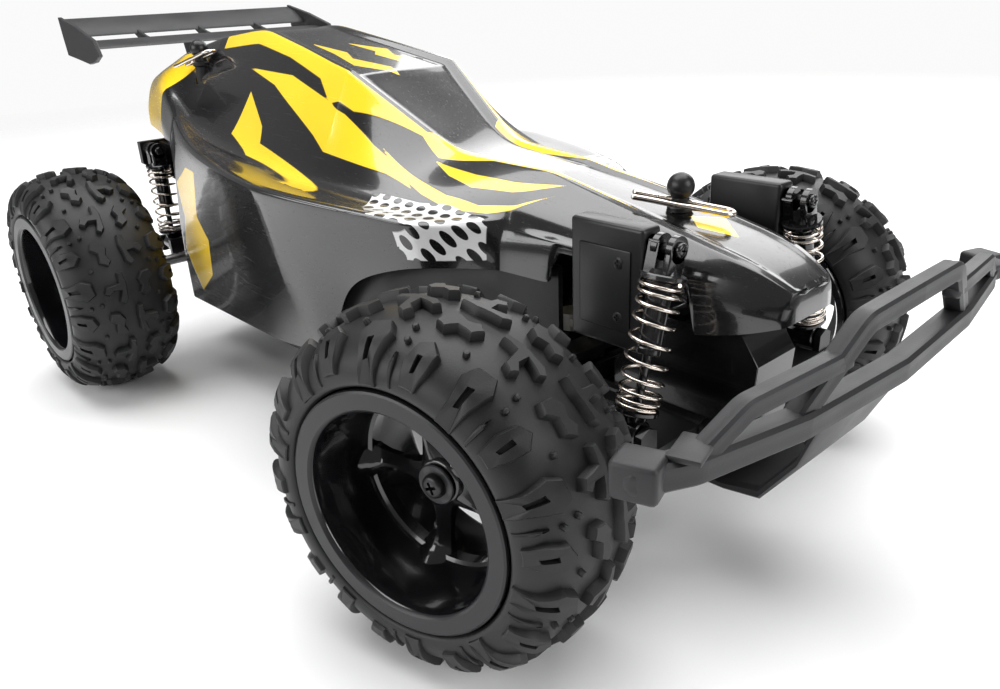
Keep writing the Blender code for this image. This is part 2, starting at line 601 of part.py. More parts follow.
def make_shock(name, top, foot):
    """Cylinder with its upper eye, rod with its lower eye, and the spring between their seats."""
    down = (foot - top).normalized()
    half = SHOCK_EYE_DEPTH / 2
    seat = 7.0
    cup = [along_x(top, SHOCK_EYE, half), rod(top + down * 1.5, top + down * seat, SHOCK_RADIUS - 0.4, 10)]
    cup.append(rod(top + down * (seat - 1.2), top + down * seat, SPRING_RADIUS + SPRING_WIRE, 14))
    body_end = top + down * SHOCK_BODY_LENGTH
    cup.append(rod(top + down * (seat - 0.6), body_end, SHOCK_RADIUS, 10))
    bore = [along_x(top, SHOCK_BOLT_RADIUS + RUN, half + 1)]
    bore.append(rod(top + down * BORE_START, body_end + down, ROD_RADIUS + RUN, 8))
    piece(f"shock_body_{name}", combined(cup, bore), "chassis_black", pivot=top)
    plate = foot - down * 5.2
    foot_parts = [along_x(foot, SHOCK_EYE, half), rod(plate - down * 0.6, foot - down * 1.5, SHOCK_RADIUS - 0.5, 10)]
    foot_parts.append(rod(plate - down * 1.2, plate, SPRING_RADIUS + SPRING_WIRE, 14))
    foot_parts.append(rod(top + down * ROD_START, plate, ROD_RADIUS, 8))
    bolt = [along_x(foot, SHOCK_BOLT_RADIUS + RUN + 0.25, half + 1)]
    piece(f"shock_rod_{name}", combined(foot_parts, bolt, "MANIFOLD"), "steel", pivot=foot)
    inset = SPRING_WIRE + GAP
    spring = coil(top + down * (seat + inset), plate - down * (1.2 + inset), SPRING_RADIUS, SPRING_WIRE, SPRING_TURNS)
    piece(f"spring_{name}", spring, "nickel", pivot=top + down * seat)


# ---------------------------------------------------------------- front arms, knuckles and steering


def make_front_arm(name, side):
    """A wide lower arm with a hinge tube inside, a C-shaped carrier outside and a shock post in front."""
    y0 = side * ARM_PIVOT_Y
    x0 = FRONT_AXLE_X + ARM_BACK
    x1 = FRONT_AXLE_X + ARM_FRONT
    low = AXLE_Z - ARM_THICKNESS / 2
    high = AXLE_Z + ARM_THICKNESS / 2
    shock_x = FRONT_AXLE_X + FRONT_SHOCK_X
    foot_y, foot_z = FRONT_SHOCK_FOOT
    carrier_y = KINGPIN_Y - KNUCKLE_RADIUS - 1.6
    plan = [(x0, 0), (x1, 0), (x1, foot_y - ARM_PIVOT_Y + 2), (shock_x - 5.6, foot_y - ARM_PIVOT_Y + 3),
            (FRONT_AXLE_X + 7, carrier_y - ARM_PIVOT_Y), (FRONT_AXLE_X - 5, carrier_y - ARM_PIVOT_Y), (x0, 22)]
    shapes = [prism([(x, y0 + side * y) for x, y in plan], low, high)]
    shapes.append(rod((x0, y0, AXLE_Z), (x1, y0, AXLE_Z), ARM_EYE_RADIUS, 14))
    window = prism([(x, y0 + side * y) for x, y in ((x0 + 7, 7), (x1 - 10, 7), (x1 - 18, 18), (x0 + 9, 20))], 30, 60)
    gap = KNUCKLE_HEIGHT / 2 + RUN
    back = prism([(FRONT_AXLE_X - 5, side * (carrier_y - 3.2)), (FRONT_AXLE_X + 7, side * (carrier_y - 3.2)),
                  (FRONT_AXLE_X + 5, side * carrier_y), (FRONT_AXLE_X - 5, side * carrier_y)],
                 AXLE_Z - gap - CARRIER_LUG, AXLE_Z + gap + CARRIER_LUG)
    shapes.append(back)
    for z in (AXLE_Z - gap - CARRIER_LUG, AXLE_Z + gap):
        low_y, high_y = sorted((side * (carrier_y - 2), side * KINGPIN_Y))
        shapes.append(box((FRONT_AXLE_X - 4, low_y, z), (FRONT_AXLE_X + 4, high_y, z + CARRIER_LUG)))
        end = Vector((FRONT_AXLE_X, side * KINGPIN_Y, z))
        shapes.append(rod(end, end + Vector((0, 0, CARRIER_LUG)), 4.0, 16))
    # Two ears hold the shock's foot bolt.
    ears = SHOCK_EYE_DEPTH / 2 + RUN
    for x in (shock_x - ears - 2, shock_x + ears):
        ear = [(side * (foot_y - 3.2), low + 1), (side * (foot_y + 3.2), low + 1), (side * (foot_y + 3), foot_z + 1.5),
               (side * foot_y, foot_z + 3), (side * (foot_y - 3), foot_z + 1.5)]
        shapes.append(prism(ear, x, x + 2, "X"))
    foot = Vector((shock_x, side * foot_y, foot_z))
    shapes.append(along_x(foot, SHOCK_BOLT_RADIUS, ears + 1))
    room = rod(foot - Vector((ears, 0, 0)), foot + Vector((ears, 0, 0)), SHOCK_EYE + 1.2, 16)
    hinge = rod((x0 - 1, y0, AXLE_Z), (x1 + 1, y0, AXLE_Z), HINGE_RADIUS + RUN, 12)
    pin_y = side * KINGPIN_Y
    kingpin = rod((FRONT_AXLE_X, pin_y, 20), (FRONT_AXLE_X, pin_y, 80), KINGPIN_RADIUS + RUN, 12)
    body = combined(shapes[:-1], [window, hinge, kingpin, room])
    pin_through = combined([body, shapes[-1]])
    piece(f"front_arm_{name}", pin_through, "nylon", pivot=(FRONT_AXLE_X, y0, AXLE_Z))


def steered(side):
    """The kingpin's place turned to the rest angle, with local +Y along the spindle, outwards."""
    turn = Matrix.Rotation(math.radians(STEER_REST + (0 if side > 0 else 180)), 4, "Z")
    return Matrix.Translation((FRONT_AXLE_X, side * KINGPIN_Y, AXLE_Z)) @ turn


def make_knuckle(name, side):
    """The turning upright: kingpin, spindle and the arm that the steering bar pushes."""
    half = KNUCKLE_HEIGHT / 2
    reach = half + RUN + CARRIER_LUG
    shapes = [rod((0, 0, -half), (0, 0, half), KNUCKLE_RADIUS, 16)]
    shapes.append(rod((0, 0, -reach), (0, 0, reach), KINGPIN_RADIUS, 12))
    shapes.append(rod((0, 0, 0), (0, 8, 0), KNUCKLE_RADIUS - 0.6, 14))
    shapes.append(rod((0, 2, 0), (0, SCRUB + HUB_FACE - 0.6, 0), AXLE_RADIUS, 14))
    back = -side * STEER_ARM
    low, high = sorted((0, back))
    shapes.append(box((low, -2.4, -half), (high, 2.4, -half + ARM_PLATE)))
    shapes.append(rod((back, 0, -half), (back, 0, -half + ARM_PLATE), 3.2, 14))
    shapes.append(rod((back, 0, -half), (back, 0, BAR_Z - AXLE_Z + BAR_THICKNESS + 5), STEER_PIN_RADIUS, 12))
    pivot = (FRONT_AXLE_X, side * KINGPIN_Y, AXLE_Z)
    piece(f"knuckle_{name}", moved(combined(shapes), steered(side)), "nylon", pivot=pivot)


def make_steering():
    """A sliding bar with three slots, pushed by the servo's horn, which turns both knuckles."""
    shift = -STEER_ARM * math.sin(math.radians(STEER_REST))
    x = FRONT_AXLE_X - STEER_ARM
    half = KINGPIN_Y + 5.5
    top = BAR_Z + BAR_THICKNESS
    bar = box((x - BAR_WIDTH / 2, shift - half, BAR_Z), (x + BAR_WIDTH / 2, shift + half, top))
    slots = []
    clear = STEER_PIN_RADIUS + 0.4
    slots.append(box((x - 2.9, shift - clear, BAR_Z - 1), (x + 2.9, shift + clear, top + 1)))
    for side in (-1, 1):
        # The knuckle pins lean inwards as the arms rise, so these slots reach further in.
        low, high = sorted((side * (KINGPIN_Y - clear - PIN_LEAN), side * (KINGPIN_Y + clear + PIN_LEAN / 2)))
        slots.append(box((x - 2.9, shift + low, BAR_Z - 1), (x + 2.9, shift + high, top + 1)))
    piece("steering_bar", combined([bar], slots), "nylon", pivot=(x, shift, BAR_Z))

    horn_x = x - STEER_ARM
    turn = Matrix.Translation((horn_x, 0, 0)) @ Matrix.Rotation(math.radians(-STEER_REST), 4, "Z")
    plate = [(-4, -3.4), (-4, 3.4), (STEER_ARM, 2.8), (STEER_ARM + 2.6, 0), (STEER_ARM, -2.8)]
    horn = [prism(plate, HORN_Z, HORN_Z + 2.4), rod((0, 0, HORN_Z - 2), (0, 0, HORN_Z + 3.6), 4.4, 16)]
    horn.append(rod((STEER_ARM, 0, BAR_Z - 1), (STEER_ARM, 0, HORN_Z + 2), STEER_PIN_RADIUS, 12))
    spline = [rod((0, 0, HORN_Z - 3), (0, 0, HORN_Z + 0.6), 2.2 + RUN, 12)]
    piece("servo_horn", moved(combined(horn, spline), turn), "gear_white", pivot=(horn_x, 0, HORN_Z))
    low = FLOOR_Z + FLOOR + GAP
    servo = [box((horn_x - 17, -6, low), (horn_x + 6, 6, HORN_Z - 5))]
    servo.append(box((horn_x - 21, -6, 42), (horn_x + 8.5, 6, 44)))
    servo.append(rod((horn_x, 0, HORN_Z - 6), (horn_x, 0, HORN_Z - 2.6), 4, 14))
    servo.append(rod((horn_x, 0, HORN_Z - 3), (horn_x, 0, HORN_Z + 0.2), 2.2, 12))
    piece("steering_servo", combined(servo), "chassis_black")


# ---------------------------------------------------------------- wheels


def make_wheels():
    """The tyre, rim and screw are drawn once, with local +Y outwards, and placed on the four wheels."""
    half = TYRE_WIDTH / 2
    bead = RIM_RADIUS + GAP
    shoulder = TYRE_RADIUS - 4.6
    outer = [(-half + 0.7, bead), (-half, bead + 5.4), (-half + 0.5, shoulder), (-half + 4.6, TYRE_RADIUS - 1),
             (-half + 12, TYRE_RADIUS)]
    outer += [(-along, radius) for along, radius in reversed(outer)]
    inner = [(half - TYRE_WALL - 0.6, bead), (half - TYRE_WALL, bead + 4.5), (half - TYRE_WALL - 4, shoulder)]
    inner += [(-along, radius) for along, radius in reversed(inner)]
    tyre = lathe(outer + inner)
    rim_half = RIM_WIDTH / 2
    barrel = RIM_RADIUS - BARREL_WALL
    web = HUB_FACE - 2
    bore = AXLE_RADIUS + RUN
    profile = [(-rim_half, RIM_RADIUS), (rim_half + 0.3, RIM_RADIUS), (rim_half + 0.3, LIP_RADIUS),
               (rim_half - 1, LIP_RADIUS), (rim_half - 2.6, barrel), (web, barrel), (web, HUB_RADIUS + 1),
               (HUB_FACE, HUB_RADIUS), (HUB_FACE, bore), (HUB_BACK, bore), (HUB_BACK, HUB_RADIUS),
               (web - WEB_THICKNESS, HUB_RADIUS), (web - WEB_THICKNESS, barrel), (-rim_half, barrel)]
    windows = []
    for spoke in range(SPOKES):
        middle = math.tau * (spoke + 0.5) / SPOKES
        corners = []
        for radius in (HUB_RADIUS + 3.5, barrel - 2.2):
            spread = math.pi / SPOKES - math.asin(SPOKE_WIDTH / 2 / radius)
            corners.append([(radius * math.sin(middle + turn * spread), radius * math.cos(middle + turn * spread))
                            for turn in (-1, 0, 1)])
        outline = corners[0] + corners[1][::-1]
        windows.append(prism(outline, web - WEB_THICKNESS - 2, web + 2, "Y"))
    rim = combined([lathe(profile)], windows, "MANIFOLD")
    head = HUB_FACE + GAP
    screw = combined([rod((0, head, 0), (0, head + 1, 0), 5.2, 18), rod((0, head + 0.5, 0), (0, head + 2.4, 0), 3.2, 16),
                      rod((0, head - 0.5, 0), (0, head + 0.5, 0), AXLE_RADIUS - 0.4, 12)])
    originals = {}
    for part, shape, finish in (("tyre", tyre, "tyre"), ("rim", rim, "rim_black"), ("wheel_screw", screw, "steel")):
        originals[part] = piece(part, shape, finish)
    for corner, place in wheel_places().items():
        in_metres = Matrix.LocRotScale(place.to_translation() * MM, place.to_quaternion(), None)
        for part, original in originals.items():
            shared(f"{part}_{corner}", original, in_metres)
    for original in originals.values():
        bpy.data.objects.remove(original)


def wheel_places():
    places = {}
    for name, side in (("left", 1), ("right", -1)):
        places[f"front_{name}"] = steered(side) @ Matrix.Translation((0, SCRUB, 0))
        turn = Matrix.Rotation(0 if side > 0 else math.pi, 4, "Z")
        places[f"rear_{name}"] = Matrix.Translation((REAR_AXLE_X, side * REAR_TRACK / 2, AXLE_Z)) @ turn
    return places


# ---------------------------------------------------------------- rear swing unit


def gear_centres():
    axle = Vector((REAR_AXLE_X, AXLE_Z))
    step = math.radians(IDLER_ANGLE)
    reach = MODULE * (AXLE_TEETH + IDLER_SMALL_TEETH) / 2 + BACKLASH * MODULE
    idler = axle + reach * Vector((math.cos(step), math.sin(step)))
    step = math.radians(PINION_ANGLE)
    reach = MODULE * (IDLER_BIG_TEETH + PINION_TEETH) / 2 + BACKLASH * MODULE
    pinion = idler + reach * Vector((math.cos(step), math.sin(step)))
    return axle, idler, pinion


def gear(centre, teeth, y0, y1, facing, gap_there):
    """A spur gear on the Y axis; a tooth, or a gap, points at the angle it faces."""
    pitch = MODULE * teeth / 2
    root, tip = pitch - TOOTH_ROOT * MODULE, pitch + TOOTH_TIP * MODULE
    outline = []
    for tooth in range(teeth):
        middle = facing + math.tau * (tooth + (0.5 if gap_there else 0)) / teeth
        for radius, share in ((root, -0.25), (tip, -0.09), (tip, 0.09), (root, 0.25)):
            angle = middle + share * math.tau / teeth
            outline.append((centre.x + radius * math.cos(angle), centre.y + radius * math.sin(angle)))
    return prism(outline, y0, y1, "Y")


def on_y(centre, y0, y1, radius, sides=14):
    return rod((centre.x, y0, centre.y), (centre.x, y1, centre.y), radius, sides)


def angle_to(start, end):
    return math.atan2(end.y - start.y, end.x - start.x)


def make_rear_unit():
    axle, idler, pinion = gear_centres()
    first = FIRST_GEAR_Y
    second = first + GEAR_WIDTH + 1
    end = REAR_TRACK / 2 + HUB_FACE - 0.6
    shaft = on_y(axle, -end, end, AXLE_RADIUS)
    piece("rear_axle", shaft, "steel", pivot=(axle.x, 0, axle.y))
    big = gear(axle, AXLE_TEETH, first, first + GEAR_WIDTH, angle_to(axle, idler), False)
    hub = on_y(axle, first - 0.6, first + GEAR_WIDTH + 3, AXLE_GEAR_HUB)
    bore = on_y(axle, first - 2, first + GEAR_WIDTH + 5, AXLE_RADIUS + GAP)
    piece("axle_gear", combined([big, hub], [bore], "MANIFOLD"), "gear_white", pivot=(axle.x, first, axle.y))
    small = gear(idler, IDLER_SMALL_TEETH, first, second + 0.5, angle_to(idler, axle), True)
    wide = gear(idler, IDLER_BIG_TEETH, second, second + GEAR_WIDTH, angle_to(idler, pinion), False)
    bore = on_y(idler, first - 1, second + GEAR_WIDTH + 1, SHAFT_RADIUS + RUN)
    piece("idler_gear", combined([small, wide], [bore]), "gear_white", pivot=(idler.x, first, idler.y))
    drive = gear(pinion, PINION_TEETH, second, second + GEAR_WIDTH, angle_to(pinion, idler), True)
    motor_face = second + GEAR_WIDTH + 3.2
    spindle = on_y(pinion, second - 0.6, motor_face + 6, MOTOR_SHAFT, 10)
    piece("motor_pinion", combined([drive, spindle]), "steel", pivot=(pinion.x, second, pinion.y))
    can = [on_y(pinion, motor_face, motor_face + MOTOR_LENGTH, MOTOR_RADIUS, 20)]
    can.append(on_y(pinion, motor_face + MOTOR_LENGTH - 0.5, motor_face + MOTOR_LENGTH + 2, 3.4))
    well = [on_y(pinion, motor_face - 1, motor_face + 7, MOTOR_SHAFT + RUN, 10)]
    piece("drive_motor", combined(can, well), "zinc_can", pivot=(pinion.x, motor_face, pinion.y))

    # The case: a cup round the gears, closed by a cover on its outer side.
    rooms = ((axle, CASE_ROOM), (idler, CASE_ROOM), (pinion, PINION_ROOM))
    inner = hull_outline(rooms)
    outer = hull_outline([(centre, radius + CASE_WALL) for centre, radius in rooms])
    low = first - 1.4
    high = motor_face - GAP
    cup = prism(outer, low, high, "Y")
    pin = on_y(idler, low + 0.4, high, SHAFT_RADIUS)
    plate_top = axle.y - CASE_ROOM - CASE_WALL + 0.4
    plate = [(axle.x - 24, 25.4), (axle.x + 40, 25.4), (axle.x + 40, plate_top), (axle.x - 24, plate_top)]
    cuts = [prism(inner, low - 1, high - 1.8, "Y"), on_y(axle, low - 2, high + 2, AXLE_RADIUS + RUN + 3.2),
            on_y(pinion, low, high + 2, MOTOR_SHAFT + RUN + 2)]
    case = combined([combined([cup], cuts), pin, prism(plate, low, high, "Y")])
    piece("gearbox_case", case, "nylon")
    lid_hole = on_y(axle, low - 4, low + 2, AXLE_RADIUS + RUN)
    lid = combined([prism(outer, low - GAP - CASE_WALL, low - GAP, "Y")], [lid_hole])
    piece("gearbox_cover", lid, "nylon")

    # The carrier: a floor and two cheeks that hold the axle, hinged at the front on the swing pin.
    pivot = Vector((REAR_AXLE_X + SWING_PIVOT_X, AXLE_Z))
    y0 = SWING_PLATE_Y
    y1 = SWING_PLATE_Y + SWING_PLATE
    shapes = [box((axle.x - 20, -y1 + 0.5, 22.6), (axle.x + 30, y1 - 0.5, 25.1))]
    foot_x = REAR_AXLE_X - REAR_SHOCK_BEHIND
    half = SHOCK_EYE_DEPTH / 2 + REAR_EAR_ROOM
    for side in (-1, 1):
        cheek = [(axle.x - 20, 22.6), (axle.x + 30, 22.6), (pivot.x + 3, 41), (pivot.x + 5.4, 46), (pivot.x + 3, 51),
                 (pivot.x - 4, 51), (axle.x + 12, 58), (axle.x - 8, 58), (axle.x - 20, 52)]
        low, high = sorted((side * y0, side * y1))
        shapes.append(prism(cheek, low, high, "Y"))
        # An ear on each cheek reaches out to the shock's foot.
        low, high = sorted((side * (y1 - 1), side * (REAR_SHOCK_Y + 4)))
        for x in (foot_x - half - 2.2, foot_x + half):
            shapes.append(box((x, low, REAR_SHOCK_FOOT_Z - 4), (x + 2.2, high, REAR_SHOCK_FOOT_Z + 3)))
        eye = Vector((foot_x, side * REAR_SHOCK_Y, REAR_SHOCK_FOOT_Z))
        shapes.append(along_x(eye, SHOCK_BOLT_RADIUS, half + 1))
    cuts = [on_y(axle, -60, 60, AXLE_RADIUS + RUN), on_y(pivot, -60, 60, HINGE_RADIUS + RUN, 12)]
    piece("rear_carrier", combined(shapes, cuts), "nylon", pivot=(pivot.x, 0, pivot.y))


def hull_outline(circles, steps=28):
    """The tight outline round circles of (centre, radius)."""
    outline = []
    for step in range(steps):
        angle = math.tau * step / steps
        reach = Vector((math.cos(angle), math.sin(angle)))
        corner = max((centre + reach * radius for centre, radius in circles), key=lambda p: p.dot(reach))
        outline.append((corner.x, corner.y))
    return outline


# ---------------------------------------------------------------- battery, electronics, posts and clips


def make_electrics():
    floor = FLOOR_Z + FLOOR + GAP
    pitch = 2 * CELL_RADIUS - 0.2
    middle = bx(-111)
    cells = []
    for i in range(CELLS):
        x = middle + (i - (CELLS - 1) / 2) * pitch
        z = floor + CELL_RADIUS
        cells.append(rod((x, -CELL_LENGTH / 2, z), (x, CELL_LENGTH / 2, z), CELL_RADIUS, 12))
    reach = (CELLS - 1) / 2 * pitch
    strip = box((middle - reach, -CELL_LENGTH / 2 + 2, z - 3), (middle + reach, CELL_LENGTH / 2 - 2, z + 3))
    cells.append(strip)
    piece("battery_pack", combined(cells), "battery_wrap")
    x = bx(-62)
    board = [box((x - 11, -15, 42), (x + 11, 15, 43.4)), box((x - 6, -8, 43), (x + 4, 4, 46.5))]
    board += [rod((x + i, j, floor), (x + i, j, 42.5), 1.8, 8) for i in (-9, 9) for j in (-13, 13)]
    board.append(rod((x - 7, 9, 43), (x - 7, 9, 50), 2.8, 10))
    piece("receiver_board", combined(board), "board_green")


def clip_directions():
    """Where each clip is pulled to."""
    return {
        "front": Vector((0.86, 0.51, -0.17)).normalized(),
        "rear_left": Vector((1, -0.1, 0.25)).normalized(),
        "rear_right": Vector((1, 0.1, 0.25)).normalized(),
    }


def clip_places():
    """Each clip hole's centre, just under the ball of its post."""
    places = {name: Vector((x, y, FRONT_BALL_Z if name == "front" else REAR_BALL_Z)) - Vector((0, 0, BALL_TO_CLIP))
              for name, (x, y) in post_places().items()}
    return places


def make_posts_and_clips():
    foot = {"front": FRONT_DECK_Z + GAP, "rear_left": REAR_DECK_Z + GAP, "rear_right": REAR_DECK_Z + GAP}
    directions = clip_directions()
    for name, (x, y) in post_places().items():
        hole = clip_places()[name]
        top = hole.z + BALL_TO_CLIP
        along = directions[name]
        shapes = [rod((x, y, foot[name]), (x, y, top), POST_RADIUS, 14), ball((x, y, top), POST_BALL)]
        shapes.append(rod((x, y, foot[name]), (x, y, foot[name] + 2), POST_RADIUS + POST_FLANGE, 14))
        bore = rod(hole - along * 8, hole + along * 8, CLIP_HOLE, 10)
        piece(f"body_post_{name}", combined(shapes, [bore]), "nylon")
        aside = along.cross(Vector((0, 0, 1))).normalized() * (-1 if name == "rear_left" else 1)
        back = hole - along * (CLIP_LENGTH * 0.42)
        ahead = hole + along * (CLIP_LENGTH * 0.42)
        route = [back, ahead]
        for step in range(1, 6):
            angle = math.pi * step / 6
            route.append(ahead + along * math.sin(angle) * CLIP_GAP / 2 + aside * (1 - math.cos(angle)) * CLIP_GAP / 2)
        route += [ahead + aside * CLIP_GAP, back + aside * (CLIP_GAP + 0.6)]
        piece(f"body_clip_{name}", sweep(route, 2 * CLIP_WIRE, 2 * CLIP_WIRE, 6), "nickel", pivot=hole)


def main():
    for thing in list(bpy.data.objects):
        bpy.data.objects.remove(thing)
    make_body()
    make_wing()
    make_bumper()
    make_chassis()
    make_bulkhead()
    make_towers()
    for name, (top, foot) in shock_lines().items():
        make_shock(name, top, foot)
    for name, side in (("left", 1), ("right", -1)):
        make_front_arm(name, side)
        make_knuckle(name, side)
    make_steering()
    make_wheels()
    make_rear_unit()
    make_electrics()
    make_posts_and_clips()


main()
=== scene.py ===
# %% [markdown]
# # A radio controlled buggy, finished on its engineering model
#
# The engineering model gives the exact places, sizes and motions of 59 parts. This lesson loads it as a fixed
# frame and gives it its looks: rubber tyres with moulded lugs, deep dished rims, a painted body, nickel springs
# and moulded nylon. Nothing is resized: every piece is drawn on the frame's own measures.
#
# Lengths are written in millimetres and turned into metres by MM. +X is forward, +Y is left and +Z is up.

import json
import math

import bmesh
import bpy
from mathutils import Matrix, Vector


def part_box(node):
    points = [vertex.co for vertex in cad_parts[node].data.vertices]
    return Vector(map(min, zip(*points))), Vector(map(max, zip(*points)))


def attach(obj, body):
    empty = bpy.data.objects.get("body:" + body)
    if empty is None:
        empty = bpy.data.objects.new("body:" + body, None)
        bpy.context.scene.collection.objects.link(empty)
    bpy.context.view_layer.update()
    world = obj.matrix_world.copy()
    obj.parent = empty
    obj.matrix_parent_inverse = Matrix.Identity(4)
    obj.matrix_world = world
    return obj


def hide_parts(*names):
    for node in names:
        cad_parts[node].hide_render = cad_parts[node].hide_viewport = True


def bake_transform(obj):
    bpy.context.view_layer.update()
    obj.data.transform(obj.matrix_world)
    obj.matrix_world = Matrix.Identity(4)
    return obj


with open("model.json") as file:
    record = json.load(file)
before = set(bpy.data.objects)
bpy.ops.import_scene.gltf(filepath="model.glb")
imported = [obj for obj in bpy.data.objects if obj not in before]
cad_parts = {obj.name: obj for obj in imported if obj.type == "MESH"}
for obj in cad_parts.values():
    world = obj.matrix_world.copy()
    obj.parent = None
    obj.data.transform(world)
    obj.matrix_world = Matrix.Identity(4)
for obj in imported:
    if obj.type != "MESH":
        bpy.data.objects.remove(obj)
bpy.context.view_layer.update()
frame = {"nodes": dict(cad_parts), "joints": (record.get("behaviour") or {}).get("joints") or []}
MM = 0.001

# %% [markdown]
# ## Where things are
#
# Positions are asked from the frame, not guessed. A node's box gives its middle, and the joints in the record
# give the axes the wheels spin on. The front wheels stand turned a little to the left, so their axles are not
# quite square to the car.


# %% Measures taken from the frame
def middle_of(node):
    """The centre of a frame node's box, in millimetres."""
    low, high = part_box(node)
    return (low + high) / 2 / MM


def joint_named(name):
    return next(joint for joint in frame["joints"] if joint["name"] == name)


CORNERS = ("front_left", "front_right", "rear_left", "rear_right")
FRONT_AXLE_X = joint_named("arm_left_travel")["pos_m"][0] / MM


def wheel_place(corner):
    """A matrix in millimetres: its origin on the wheel's centre, +Y along the axle and outwards."""
    centre = middle_of("tyre_" + corner)
    side = 1 if corner.endswith("left") else -1
    axle = Vector((0, 1, 0))
    if corner.startswith("front"):
        axle = Vector(joint_named("spin_" + corner)["axis"])
    outwards = (axle * side).normalized()
    ahead = outwards.cross(Vector((0, 0, 1))).normalized()
    turn = Matrix((ahead, outwards, Vector((0, 0, 1)))).transposed().to_4x4()
    return Matrix.Translation(centre) @ turn


for corner in CORNERS:
    print(corner, "wheel at", [round(c, 1) for c in wheel_place(corner).to_translation()])

# %% [markdown]
# ## From a drawing to a finished piece
#
# Every piece is drawn as a bmesh in millimetres, then becomes an object in metres at the origin, with its place
# in its mesh. `finished` does that in one step. It merges doubles, turns the faces outwards, shades smooth with
# sharp edges kept, gives the material, tells the frame which body the piece moves with, and hides the
# engineering parts that it replaces.


# %% One way to finish every piece
def finished(name, shape, material, body, replaces=(), sharp=38, merge=0.001, recalc=True):
    bmesh.ops.remove_doubles(shape, verts=shape.verts, dist=merge)
    if recalc:
        bmesh.ops.recalc_face_normals(shape, faces=shape.faces)
    bmesh.ops.scale(shape, vec=(MM, MM, MM), verts=shape.verts)
    mesh = bpy.data.meshes.new(name)
    shape.to_mesh(mesh)
    shape.free()
    mesh.shade_smooth()
    mesh.set_sharp_from_angle(angle=math.radians(sharp))
    mesh.materials.append(material)
    thing = bpy.data.objects.new(name, mesh)
    bpy.context.scene.collection.objects.link(thing)
    return settle(thing, body, replaces)


def settle(thing, body, replaces=()):
    """Tells the frame what a piece moves with, and hides the engineering parts that it replaces."""
    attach(thing, body)
    if replaces:
        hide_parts(*replaces)
    return thing


# %% [markdown]
# ## Drawing tools
#
# Most of the car is turned, swept or lofted. `loft` skins rings of points, `lathe` turns a profile round the
# axle, and `tube` sweeps a circle along a rounded route. `rounded_route` puts a bend of a given radius at each
# corner, as a pipe bender does, because a bent nylon bar or a wire never has a sharp corner.


# %% Lofts, lathes and tubes
def loft(rings, closed=False, caps=True):
    shape = bmesh.new()
    rows = [[shape.verts.new(point) for point in ring] for ring in rings]
    count = len(rings[0])
    pairs = list(zip(rows, rows[1:])) + ([(rows[-1], rows[0])] if closed else [])
    for first, second in pairs:
        for i in range(count):
            j = (i + 1) % count
            shape.faces.new((first[i], first[j], second[j], second[i]))
    if caps and not closed:
        shape.faces.new(reversed(rows[0]))
        shape.faces.new(rows[-1])
    return shape


def lathe(profile, sides=96):
    """A closed profile of (along, radius) turned round the Y axis."""
    rings = []
    for step in range(sides):
        angle = math.tau * step / sides
        rings.append([(r * math.sin(angle), along, -r * math.cos(angle)) for along, r in profile])
    return loft(rings, closed=True)


def frame_along(route, up=Vector((0, 0, 1))):
    """At each point of a route: the point and two directions across it, carried along without twist."""
    frames = []
    side = None
    for i, point in enumerate(route):
        ahead = (route[min(i + 1, len(route) - 1)] - route[max(i - 1, 0)]).normalized()
        if side is None:
            side = ahead.cross(up)
            if side.length < 0.01:
                side = ahead.cross(Vector((1, 0, 0)))
        side = (side - ahead * side.dot(ahead)).normalized()
        frames.append((point, side, side.cross(ahead)))
    return frames


def tube(route, radius, sides=20, flatten=1.0, dome=True, squareness=0.0):
    """A round bar along a route. flatten squashes it across; squareness fills out its corners."""
    route = [Vector(point) for point in route]
    rings = []
    frames = frame_along(route)
    stations = [(i, 1.0, 0.0) for i in range(len(route))]
    if dome:
        ends = [(0.35, -0.94), (0.75, -0.66), (0.95, -0.3)]
        stations = [(0, s, d) for s, d in ends] + stations[0:] + [(len(route) - 1, s, -d) for s, d in reversed(ends)]
    for i, scale, push in stations:
        point, side, rise = frames[i]
        along = (route[1] - route[0]).normalized() if i == 0 else (route[-1] - route[-2]).normalized()
        ring = []
        for step in range(sides):
            angle = math.tau * step / sides
            c, s = math.cos(angle), math.sin(angle)
            fill = 1 + squareness * (abs(c * s) * 2) ** 2 * 0.41
            ring.append(point + along * (push * radius) + (side * c + rise * s * flatten) * radius * scale * fill)
        rings.append(ring)
    return loft(rings)


def rounded_route(points, bend, steps=6):
    """The route through these corners with each one bent to this radius."""
    points = [Vector(point) for point in points]
    route = [points[0]]
    for before, corner, after in zip(points, points[1:], points[2:]):
        a = (before - corner).normalized()
        b = (after - corner).normalized()
        half = a.angle(b) / 2
        back = min(bend / math.tan(half), (before - corner).length * 0.48, (after - corner).length * 0.48)
        start, end = corner + a * back, corner + b * back
        for step in range(steps + 1):
            t = step / steps
            route.append(start * (1 - t) ** 2 + corner * 2 * t * (1 - t) + end * t * t)
    route.append(points[-1])
    return route


def joined(shapes):
    """Several drawings as one mesh."""
    whole = bmesh.new()
    for shape in shapes:
        mesh = bpy.data.meshes.new("part")
        shape.to_mesh(mesh)
        shape.free()
        whole.from_mesh(mesh)
        bpy.data.meshes.remove(mesh)
    return whole


def placed(shape, matrix):
    bmesh.ops.transform(shape, matrix=matrix, verts=shape.verts)
    return shape


def rounded_box(low, high, radius=0.8, segments=3):
    shape = bmesh.new()
    bmesh.ops.create_cube(shape, size=1)
    middle = (Vector(low) + Vector(high)) / 2
    size = Vector(high) - Vector(low)
    for vertex in shape.verts:
        vertex.co = middle + Vector(c * s for c, s in zip(vertex.co, size))
    bmesh.ops.bevel(shape, geom=shape.edges[:], offset=radius, segments=segments, affect="EDGES", profile=0.5)
    return shape


print("drawing tools ready")

